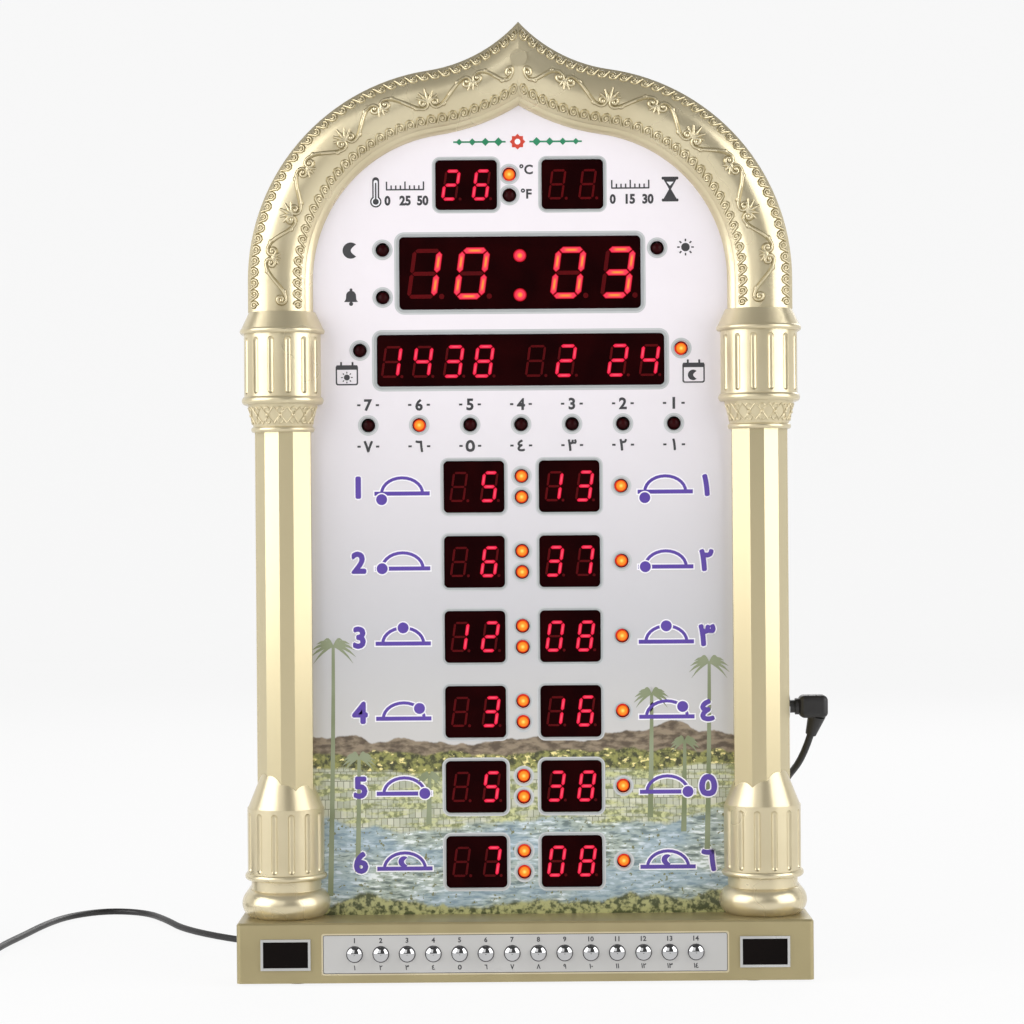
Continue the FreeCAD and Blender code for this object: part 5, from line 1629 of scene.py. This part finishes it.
@dataclass
class DigitDisplay:
    """The digits of one display, lit and unlit, on its dark filter.

    Attributes:
        name: the piece's name.
        height: height of a digit.
        width: width of a digit with its slant.
        stroke: width of one stroke.
        digits: each digit's character, centre across and height, and whether the display is on.
        dots: lit round dots, as across and height.
        front: Y of the filter's face.
        lean: slant, as a share of the height.
        gap: space left at each end of a stroke.
        thick: thickness of a lit stroke.
        unlit: width of an unlit stroke, as a share of a lit one's.
        dot_radius: radius of the round dots.
        lit: name of the lit finish.
    """

    name: str
    height: float
    width: float
    stroke: float
    digits: Sequence[tuple[str, float, float]]
    dots: Sequence[Point] = ()
    front: float = -0.7
    lean: float = 0.14
    gap: float = 0.22
    thick: float = 0.08
    unlit: float = 0.62
    dot_radius: float = 2.75
    lit: str = "segment_lit_small"
    shape: bmesh.types.BMesh = field(default_factory=bmesh.new)

    def build(self, palette: Palette) -> None:
        """Makes every stroke of every digit, a point after each, and the dots.

        Args:
            palette: the clock's finishes.
        """
        half_x = (self.width - self.lean * self.height - self.stroke) / 2
        half_z = (self.height - self.stroke) / 2
        for text, x, z in self.digits:
            lit = DIGIT_STROKES[text]
            for letter, segment in zip("abcdefg", Segment):
                outline = self._stroke(segment, half_x, half_z, 1.0 if letter in lit else self.unlit)
                self._shape([(x + px + self.lean * pz, z + pz) for px, pz in outline], letter in lit)
            point = (x + half_x + self.stroke * 1.25 - self.lean * half_z, z - half_z)
            self._shape(circle(*point, self.stroke * 0.42, 14), False)
        for x, z in self.dots:
            self._shape(circle(x, z, self.dot_radius, 28), True, self.dot_radius * 0.9)
        shape_piece(self.shape, self.name,
                    [palette.get(self.lit), palette.get("segment_off")])

    def _stroke(self, segment: Segment, half_x: float, half_z: float, share: float) -> list[Point]:
        """The six-cornered outline of one stroke.

        Args:
            segment: which stroke.
            half_x: half the distance between the upright strokes.
            half_z: half the distance between the top and bottom strokes.
            share: its width as a share of a lit stroke's.

        Returns:
            Its points about the digit's middle, before the slant.
        """
        (ax, az), (bx, bz) = segment.value
        ax, bx, az, bz = ax * half_x, bx * half_x, az * half_z, bz * half_z
        long = math.hypot(bx - ax, bz - az)
        ux, uz = (bx - ax) / long, (bz - az) / long
        half = self.stroke * share / 2
        ends = ((ax + ux * self.gap, az + uz * self.gap, 1), (bx - ux * self.gap, bz - uz * self.gap, -1))
        points = []
        for x, z, way in ends:
            shoulder = (x + ux * half * way, z + uz * half * way)
            points += [(shoulder[0] - uz * half * way, shoulder[1] + ux * half * way), (x, z),
                       (shoulder[0] + uz * half * way, shoulder[1] - ux * half * way)]
        return points

    def _shape(self, outline: Sequence[Point], lit: bool, inset: float = 0.0) -> None:
        """Adds one closed slab; a lit one has its heart marked by U of 0 and its edge by 1.

        Args:
            outline: its outline, in millimetres.
            lit: whether it glows.
            inset: distance of its heart from the outline; 0 takes it from the stroke.
        """
        thick = self.thick if lit else self.thick / 2
        add_slab(self.shape, outline, (self.front - thick) * MM, self.front * MM, 0 if lit else 1,
                 (inset or self.stroke * 0.46) if lit else 0.0, stroke=not inset)


@dataclass
class LampSet:
    """Round LED lamps that share one node.

    Attributes:
        name: the piece's name.
        node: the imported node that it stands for.
        spots: each lamp's place across and up, and whether it is lit.
        radius: radius of a lamp.
        dome: height of its domed tip.
        dome_steps: rings of faces on the tip.
        sides: faces round the lamp.
    """

    name: str
    node: str
    spots: Sequence[tuple[float, float, bool]]
    radius: float = 2.5
    dome: float = 1.5
    dome_steps: int = 6
    sides: int = 20

    def build(self, palette: Palette) -> None:
        """Makes the lamps with U running from the tip's middle to the rim.

        Args:
            palette: the clock's finishes.
        """
        low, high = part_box(self.node)
        lamp = self._lamp(low[1] / MM, high[1] / MM)
        shape = bmesh.new()
        for x, z, lit in self.spots:
            verts, faces = len(shape.verts), len(shape.faces)
            shape.from_mesh(lamp)
            shape.verts.ensure_lookup_table()
            shape.faces.ensure_lookup_table()
            bmesh.ops.translate(shape, verts=shape.verts[verts:], vec=(x * MM, 0.0, z * MM))
            for face in shape.faces[faces:]:
                face.material_index = 0 if lit else 1
        bpy.data.meshes.remove(lamp)
        piece = shape_piece(shape, self.name,
                            [palette.get("lamp_lit"), palette.get("lamp_off")], smooth=True)
        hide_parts(self.node)

    def _lamp(self, front: float, back: float) -> bpy.types.Mesh:
        """One lamp about the Y axis: a flat back, a straight wall and a domed tip.

        Args:
            front: Y of the wall's front end, in millimetres.
            back: Y of the back.

        Returns:
            The lamp's mesh.
        """
        bend = (self.radius ** 2 + self.dome ** 2) / (2 * self.dome)
        arc = [self.radius * (1 - i / self.dome_steps) for i in range(self.dome_steps + 1)]
        profile = [(0.0, back), (self.radius, back)]
        profile += [(r, front + bend - math.sqrt(bend ** 2 - r ** 2)) for r in arc]
        shape = bmesh.new()
        heat = shape.loops.layers.uv.new("heat")
        verts = [shape.verts.new((r * MM, y * MM, 0.0)) for r, y in profile]
        edges = [shape.edges.new(pair) for pair in zip(verts, verts[1:])]
        bmesh.ops.spin(shape, geom=verts + edges, cent=(0, 0, 0), axis=(0, 1, 0), angle=2 * math.pi,
                       steps=self.sides, use_merge=True)
        bmesh.ops.remove_doubles(shape, verts=shape.verts, dist=0.000005)
        bmesh.ops.recalc_face_normals(shape, faces=shape.faces)
        for face in shape.faces:
            for loop in face.loops:
                loop[heat].uv = (math.hypot(loop.vert.co.x, loop.vert.co.z) / (self.radius * MM), 0.5)
        mesh = bpy.data.meshes.new("lamp")
        shape.to_mesh(mesh)
        shape.free()
        return mesh


class SkySign(Enum):
    """Where the sun or the moon stands on the printed sun path, from the left end to the right."""

    BEFORE_DAWN = -0.22
    SUNRISE = 0.0
    NOON = 0.5
    AFTERNOON = 0.78
    SUNSET = 1.0
    NIGHT = 2.0


EASTERN = "\u0660\u0661\u0662\u0663\u0664\u0665\u0666\u0667\u0668\u0669"


@dataclass(frozen=True)
class FaceLayout:
    """Where the windows and the lamps are on the face, in millimetres across and up.

    Attributes:
        top: the temperature and iqamah windows: distance from the middle, and height.
        top_size: width and height of each.
        time: height of the clock window's middle.
        time_size: its width and height.
        date: height of the date window's middle.
        date_size: its width and height.
        row_x: distance of the hour and minute windows from the middle.
        row_size: width and height of each.
        rows: heights of the six rows.
        status: the status lamps.
        weekdays: the seven weekday lamps' places across.
        weekday_z: their height.
        colon_rise: distance of the colon lamps over and under a row's middle.
        prayer_x: place of the prayer lamps across.
    """

    top: Point = (22.3, 332.2)
    top_size: Point = (26.0, 21.0)
    time: float = 295.2
    time_size: Point = (101.5, 30.6)
    date: float = 258.6
    date_size: Point = (120.8, 21.8)
    row_x: float = 20.0
    row_size: Point = (25.6, 21.8)
    rows: tuple[float, ...] = tuple(205.4 - 31.5 * i for i in range(6))
    status: tuple[Point, ...] = ((-4.2, 336.6), (-4.2, 327.8), (-57.7, 305.2), (-57.7, 285.2),
                                 (57.7, 305.2), (-67.5, 263.0), (67.5, 263.0))
    weekdays: tuple[float, ...] = tuple(21.4 * (i - 3) for i in range(7))
    weekday_z: float = 231.5
    colon_rise: float = 4.4
    prayer_x: float = 41.8

    def colons(self) -> list[Point]:
        """The lamps between the hour and minute windows."""
        return [(0.0, z + way * self.colon_rise) for z in self.rows for way in (1, -1)]

    def prayers(self) -> list[Point]:
        """The lamp beside each row."""
        return [(self.prayer_x, z) for z in self.rows]

    def week(self) -> list[Point]:
        """The weekday lamps."""
        return [(x, self.weekday_z) for x in self.weekdays]


LAYOUT = FaceLayout()


def eastern(number: int) -> str:
    """The number in Eastern Arabic figures."""
    return "".join(EASTERN[int(figure)] for figure in str(number))


@dataclass
class FaceSheet:
    """The print on the face: window and lamp outlines, figures, signs, and palms in the landscape.

    Attributes:
        palette: the clock's finishes.
        ink: the print.
        corner: corner radius of a window's print.
        ring: radii of a lamp's ring, from its hole outwards.
        figure_x: places of the row figures, on the left and on the right.
        path_x: places of the sun paths, on the left and on the right.
        star: place of the star ornament.
        glass: place of the hourglass.
        stem: place of the thermometer's bulb.
    """

    palette: Palette
    ink: Print = field(default_factory=lambda: Print(-1.0 * MM))
    corner: float = 2.1
    ring: tuple[float, float, float] = (3.0, 3.55, 4.35)
    figure_x: Point = (-68.6, 77.4)
    path_x: Point = (-50.2, 60.3)
    star: Point = (-0.6, 350.2)
    glass: Point = (63.3, 329.8)
    stem: Point = (-60.3, 325.4)

    def build(self) -> None:
        """Prints the whole face."""
        self._palms()
        self._windows()
        self._lamp_rings()
        self._star()
        self._units_and_stem()
        self._hourglass()
        self._scales()
        self._status_signs()
        self._week()
        for i, (z, sign) in enumerate(zip(LAYOUT.rows, SkySign)):
            self.ink.outlined(str(i + 1), self.figure_x[0], z, 8.4)
            for x in self.path_x:
                self._sun_path(x, z, sign)
            self.ink.outlined(eastern(i + 1), self.figure_x[1], z, 8.4)
        self.ink.piece("face_sheet_print", "face_print", self.palette)

    def _week(self) -> None:
        """The weekdays' numbers over and under their lamps, each between two dashes."""
        over, under = LAYOUT.weekday_z + 8.5, LAYOUT.weekday_z - 8.9
        for i, x in enumerate(LAYOUT.weekdays):
            self.ink.words(str(7 - i), x, over, 5.0, Ink.DARK, 0.035)
            self.ink.words(eastern(7 - i), x, under, 4.6, Ink.DARK, 0.004, spread=0.2)
            for way in (1, -1):
                for z in (over, under):
                    self.ink.line([(x + way * 3.2, z), (x + way * 4.6, z)], 0.8, Ink.DARK)

    def _windows(self) -> None:
        """A two-tone outline round each window, wider at the two large ones."""
        top_x, top_z = LAYOUT.top
        windows = [(way * top_x, top_z, *LAYOUT.top_size, 1.4) for way in (-1, 1)]
        windows += [(way * LAYOUT.row_x, z, *LAYOUT.row_size, 1.4) for z in LAYOUT.rows for way in (-1, 1)]
        windows += [(0.0, LAYOUT.time, *LAYOUT.time_size, 2.0), (0.0, LAYOUT.date, *LAYOUT.date_size, 2.0)]
        for x, z, width, height, wide in windows:
            lines = [round_box(x, z, width + 2 * grow, height + 2 * grow, self.corner + grow)
                     for grow in (0.02, wide * 0.6, wide)]
            self.ink.band(lines[1], lines[0], Ink.SILVER)
            self.ink.band(lines[2], lines[1], Ink.LIGHT)

    def _lamp_rings(self) -> None:
        """A two-tone ring round each lamp hole."""
        hole, middle, rim = self.ring
        for x, z in (*LAYOUT.status, *LAYOUT.week(), *LAYOUT.colons(), *LAYOUT.prayers()):
            self.ink.ring(x, z, middle, hole, Ink.SILVER, 1)
            self.ink.ring(x, z, rim, middle, Ink.LIGHT, 1)

    def _star(self) -> None:
        """An eight-pointed star between two lines of diamonds that shrink outwards."""
        ink, (x, z) = self.ink, self.star
        ink.area(circle(x, z, 3.3, 4, start=0.0), Ink.RED, 1)
        ink.area(circle(x, z, 3.3, 4, start=45.0), Ink.RED)
        ink.disc(x, z, 1.2, Ink.WHITE, 2)
        for way in (1, -1):
            ink.line([(x + way * 5.0, z), (x + way * 27.0, z)], 0.7, Ink.GREEN)
            for reach in (8.0, 13.5, 19.0, 24.5):
                size = 2.1 - reach * 0.03
                diamond = [(x + way * reach + dx * size, z + dz * size)
                           for dx, dz in ((1, 0), (0, 1), (-1, 0), (0, -1))]
                ink.area(diamond[::way], Ink.GREEN, 1)

    def _units_and_stem(self) -> None:
        """The unit signs and the thermometer, drawn as three outlines inside each other."""
        ink, (x, z) = self.ink, self.stem
        ink.words("\u00b0C", 2.9, 338.6, 4.3, Ink.DARK, 0.03)
        ink.words("\u00b0F", 2.9, 328.4, 4.3, Ink.DARK, 0.03)
        for shrink, tone, layer in ((0.0, Ink.DARK, 0), (0.6, Ink.WHITE, 1), (1.15, Ink.DARK, 2)):
            ink.disc(x, z, 2.4 - shrink, tone, layer)
            tube = round_box(x, z + 5.0 - shrink * 0.9, 2.9 - 2 * shrink, 10.6 - 2.2 * shrink,
                             1.4 - shrink * 0.95)
            ink.area(tube, tone, layer)

    def _hourglass(self) -> None:
        """An hourglass: two caps, two bulbs and the sand's top."""
        ink, (x, z) = self.ink, self.glass
        for way in (1, -1):
            ink.area(round_box(x, z + way * 4.6, 7.0, 1.2, 0.4), Ink.DARK)
            rim = z + way * 4.0
            ink.area([(x - 2.7, rim), (x + 2.7, rim), (x + 0.4, z), (x - 0.4, z)], Ink.DARK)
        ink.area([(x - 1.5, z + 3.1), (x + 1.5, z + 3.1), (x, z + 1.4)], Ink.WHITE, 1)

    def _scales(self) -> None:
        """The two scales: three figures, a line and nine ticks each, every fourth tick longer."""
        ink, base, weight = self.ink, 330.4, 0.6
        for left, figures in ((-56.0, ("0", "25", "50")), (38.6, ("0", "15", "30"))):
            for i, text in enumerate(figures):
                ink.words(text, left + 0.6 + 7.4 * i, 325.8, 4.2, Ink.DARK, 0.045, squeeze=0.9)
            ink.line([(left, base), (left + 16.0, base)], weight, Ink.DARK)
            for i in range(9):
                tick, tip = left + 0.25 + 1.94 * i, base + (3.4 if i % 4 == 0 else 1.8)
                ink.line([(tick, base), (tick, tip)], weight, Ink.DARK)

    def _crescent(self, x: float, z: float, radius: float, ink: Ink, layer: int = 0,
                  grow: float = 0.0) -> None:
        """A moon that is open to the right.

        Args:
            x: its middle across.
            z: its middle up.
            radius: its radius.
            ink: the ink.
            layer: how many layers of ink lie underneath.
            grow: how much wider its outline is on every side.
        """
        opening = math.radians(48.0)
        rim = radius + grow
        mouth, tip = x + rim * math.cos(opening), rim * math.sin(opening)
        bite = (radius * 0.92 - grow) * 0.72
        inner = [(mouth - bite * math.sin(math.radians(90.0 - abs(t))), z + tip * t / 90.0)
                 for t in range(-72, 73, 18)]
        self.ink.area(circle(x, z, rim, 26, start=48.0, turn=264.0) + inner, ink, layer)

    def _sun(self, x: float, z: float, radius: float) -> None:
        """A sun with eight short rays.

        Args:
            x: its middle across.
            z: its middle up.
            radius: radius of its disc.
        """
        self.ink.disc(x, z, radius, Ink.DARK, 0, 20)
        near, far = radius * 1.35, radius * 1.95
        for i in range(8):
            across, up = math.cos(math.pi * i / 4), math.sin(math.pi * i / 4)
            self.ink.line([(x + near * across, z + near * up), (x + far * across, z + far * up)],
                          radius * 0.34, Ink.DARK)

    def _status_signs(self) -> None:
        """Moon, bell and sun beside the lamps, and two calendar sheets with a sun and a moon."""
        ink = self.ink
        bell_x, bell_z = -71.0, 285.4
        self._crescent(bell_x, 305.0, 3.4, Ink.DARK)
        dome = circle(0.0, 0.6, 2.1, 13, start=0.0, turn=180.0)
        bell = [(2.9, -2.0), (2.2, -0.9)] + dome + [(-2.2, -0.9), (-2.9, -2.0)]
        ink.area([(bell_x + px, bell_z + pz) for px, pz in bell], Ink.DARK)
        ink.disc(bell_x, bell_z - 2.8, 0.85, Ink.DARK)
        ink.disc(bell_x, bell_z + 3.1, 0.6, Ink.DARK)
        self._sun(69.6, 305.4, 1.8)
        middle = 252.6
        for x in (-73.0, 72.6):
            ink.band(round_box(x, middle, 9.4, 8.4, 1.0), round_box(x, middle, 8.2, 7.2, 0.6), Ink.DARK)
            ink.area(round_box(x, middle + 3.3, 9.0, 1.9, 0.4), Ink.DARK)
            for way in (1, -1):
                ink.line([(x + way * 2.4, middle + 3.6), (x + way * 2.4, middle + 5.6)], 0.8, Ink.DARK)
        self._sun(-73.0, middle - 0.9, 1.25)
        self._crescent(72.4, middle - 0.9, 2.2, Ink.DARK)

    def _sun_path(self, x: float, z: float, sign: SkySign) -> None:
        """The day's arc over the horizon with the sun or the moon in its place.

        Args:
            x: its middle across.
            z: height of its row.
            sign: where the sun stands.
        """
        reach, rise, base, ground, steps = 8.6, 6.6, z - 2.6, 11.6, 14
        for grow, tone, layer in ((0.55, Ink.WHITE, 0), (0.0, Ink.INDIGO, 1)):
            self.ink.line([(x - ground - grow, base), (x + ground + grow, base)], 1.7 + 2 * grow, tone, layer)
            arc = [(x - reach * math.cos(math.pi * k / steps), base + rise * math.sin(math.pi * k / steps))
                   for k in range(steps + 1)]
            self.ink.line(arc, 1.3 + 2 * grow, tone, layer)
            if sign is SkySign.NIGHT:
                self._crescent(x - 0.4, base + 2.9, 2.3, tone, layer, grow * 0.8)
                continue
            turn = math.pi * sign.value
            spot = (x - reach * math.cos(turn), base + rise * math.sin(turn))
            if sign is SkySign.BEFORE_DAWN:
                spot = (x - reach, base - 2.5)
            self.ink.disc(*spot, 2.3 + grow, tone, 2 + layer)

    def _palms(self) -> None:
        """Tall palms at both sides of the landscape."""
        for x, foot, top, spread in (
                (-81.5, 34.0, 139.0, 9.5), (-70.0, 44.0, 92.0, 7.0), (53.0, 66.0, 118.0, 7.5),
                (76.8, 52.0, 131.0, 8.5), (67.0, 60.0, 98.0, 6.0), (-40.0, 64.0, 84.0, 5.0)):
            height = top - foot
            lean = 0.018 * height
            right, left = ([(x + lean * math.sin(k * 1.5) + side * (1.15 - 0.5 * k), foot + height * k)
                            for k in (0.0, 0.2, 0.4, 0.6, 0.8, 1.0)] for side in (1, -1))
            self.ink.area(right + left[::-1], Ink.PALM)
            for i in range(11):
                self._frond(x + lean * math.sin(1.5), top, spread, math.radians(-28 + 23.6 * i), i % 2)

    def _frond(self, x: float, z: float, spread: float, turn: float, layer: int) -> None:
        """One hanging palm leaf.

        Args:
            x: place of the crown across.
            z: height of the crown.
            spread: length of the leaf.
            turn: its direction at the crown, in radians.
            layer: how many layers of ink lie underneath.
        """
        upper, lower = [], []
        for k in QUARTERS:
            px = x + spread * k * math.cos(turn)
            pz = z + spread * (k * math.sin(turn) * 0.75 - 0.55 * k * k + 0.12 * k)
            width = 0.75 * math.sin(math.pi * (0.12 + 0.86 * k))
            upper.append((px, pz + width))
            lower.append((px, pz - width))
        self.ink.area(upper + lower[::-1], Ink.PALM, layer)


@dataclass
class KeyPlate:
    """The print round the keys: a gold border, a dark ring round each key, and its number twice.

    Attributes:
        palette: the clock's finishes.
        count: number of keys.
        pitch: distance from key to key.
        height: height of the row.
        ring: outer and inner radius of the ring round a key.
    """

    palette: Palette
    count: int = 14
    pitch: float = 10.82
    height: float = 13.0
    ring: Point = (3.45, 3.1)

    def build(self) -> None:
        """Prints the plate."""
        ink = Print(PLINTH_FRONT * MM)
        low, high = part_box("button_plate")
        wide, tall = (high[0] - low[0]) / MM, (high[2] - low[2]) / MM
        middle = (high[2] + low[2]) / 2 / MM
        for outer, inner, tone in ((1.2, -0.1, Ink.GOLD), (-0.1, -0.6, Ink.DARK)):
            ink.band(round_box(0.0, middle, wide + outer, tall + outer, 1.0),
                     round_box(0.0, middle, wide + inner, tall + inner, 0.6), tone)
        for i in range(self.count):
            x = self.pitch * (i - (self.count - 1) / 2)
            ink.ring(x, self.height, *self.ring, Ink.DARK)
            ink.words(str(i + 1), x, self.height + 5.7, 2.1, Ink.DARK, 0.03)
            ink.words(eastern(i + 1), x, self.height - 5.5, 1.9, Ink.DARK, 0.004, spread=0.07)
        ink.piece("key_plate_print", "plate_silver", self.palette)


def pair(text: str, x: float, z: float) -> list[tuple[str, float, float]]:
    """Two digits about a window's middle."""
    return [(text[0], x - 6.4, z), (text[1], x + 6.4, z)]


def displays() -> list[DigitDisplay]:
    """Every display of the clock, showing the photographed time.

    Returns:
        The displays, not yet built.
    """
    top_x, top_z = LAYOUT.top
    small = {"height": 13.2, "width": 8.8, "stroke": 1.5}
    time_z, date_z, colon = LAYOUT.time - 0.15, LAYOUT.date - 0.5, (302.4, 285.9)
    time_x, date_x = (-40.2, -20.2, 20.3, 41.0), (-54.2, -41.2, -28.2, -15.5, 6.3, 19.1, 40.9, 54.1)
    shown = [
        DigitDisplay("temperature_digits", **small, digits=pair("26", -top_x, top_z)),
        DigitDisplay("iqamah_digits", **small, digits=pair("__", top_x, top_z)),
        DigitDisplay("time_digits", 21.9, 16.2, 2.7, lit="segment_lit", dots=[(0.0, z) for z in colon],
                     digits=[(text, x, time_z) for text, x in zip("1003", time_x)]),
        DigitDisplay("date_digits", 13.9, 9.9, 1.55,
                     digits=[(text, x, date_z) for text, x in zip("1438_224", date_x)]),
    ]
    for name, x, texts in (("hour_digits", -LAYOUT.row_x, ("_5", "_6", "12", "_3", "_5", "_7")),
                           ("minute_digits", LAYOUT.row_x, ("13", "37", "08", "16", "38", "08"))):
        digits = [digit for text, z in zip(texts, LAYOUT.rows) for digit in pair(text, x, z)]
        shown.append(DigitDisplay(name, **small, digits=digits))
    return shown


def lamp_sets() -> list[LampSet]:
    """Every group of lamps, with those that are lit in the photograph.

    Returns:
        The groups, not yet built.
    """
    celsius, moon_calendar, today = 0, 6, 1
    status = [(*spot, i in (celsius, moon_calendar)) for i, spot in enumerate(LAYOUT.status)]
    week = [(*spot, i == today) for i, spot in enumerate(LAYOUT.week())]
    return [
        LampSet("status_lamps", "status_leds", status),
        LampSet("weekday_lamps", "weekday_leds", week),
        LampSet("colon_lamps", "colon_leds", [(*spot, True) for spot in LAYOUT.colons()]),
        LampSet("prayer_lamps", "prayer_leds", [(*spot, True) for spot in LAYOUT.prayers()]),
    ]


@dataclass
class CadFinishes:
    """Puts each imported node's finish on it, by the record's material slots.

    Attributes:
        palette: the clock's finishes.
    """

    palette: Palette
    frame: dict

    def build(self) -> None:
        """Dresses every node."""
        for row in self.frame["record"]["subparts"]:
            node = self.frame["nodes"][row["node"]]
            slot = row["material_slot"]
            node.data.materials.clear()
            node.data.materials.append(self.palette.get("lamp_off" if slot == "lamp_resin" else slot))
        LOG.info("%d nodes dressed", len(self.frame["nodes"]))


def main() -> None:
    """Builds the clock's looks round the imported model."""
    logging.basicConfig(level=logging.INFO, format="%(message)s")
    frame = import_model()
    Studio().build()
    palette = Palette()
    PowerLead(palette).build()
    CadFinishes(palette, frame).build()
    ArchOrnament(palette).build()
    CollarRelief(palette).build()
    FaceSheet(palette).build()
    for piece in displays() + lamp_sets():
        piece.build(palette)
    KeyPlate(palette).build()


if __name__ == "__main__":
    main()
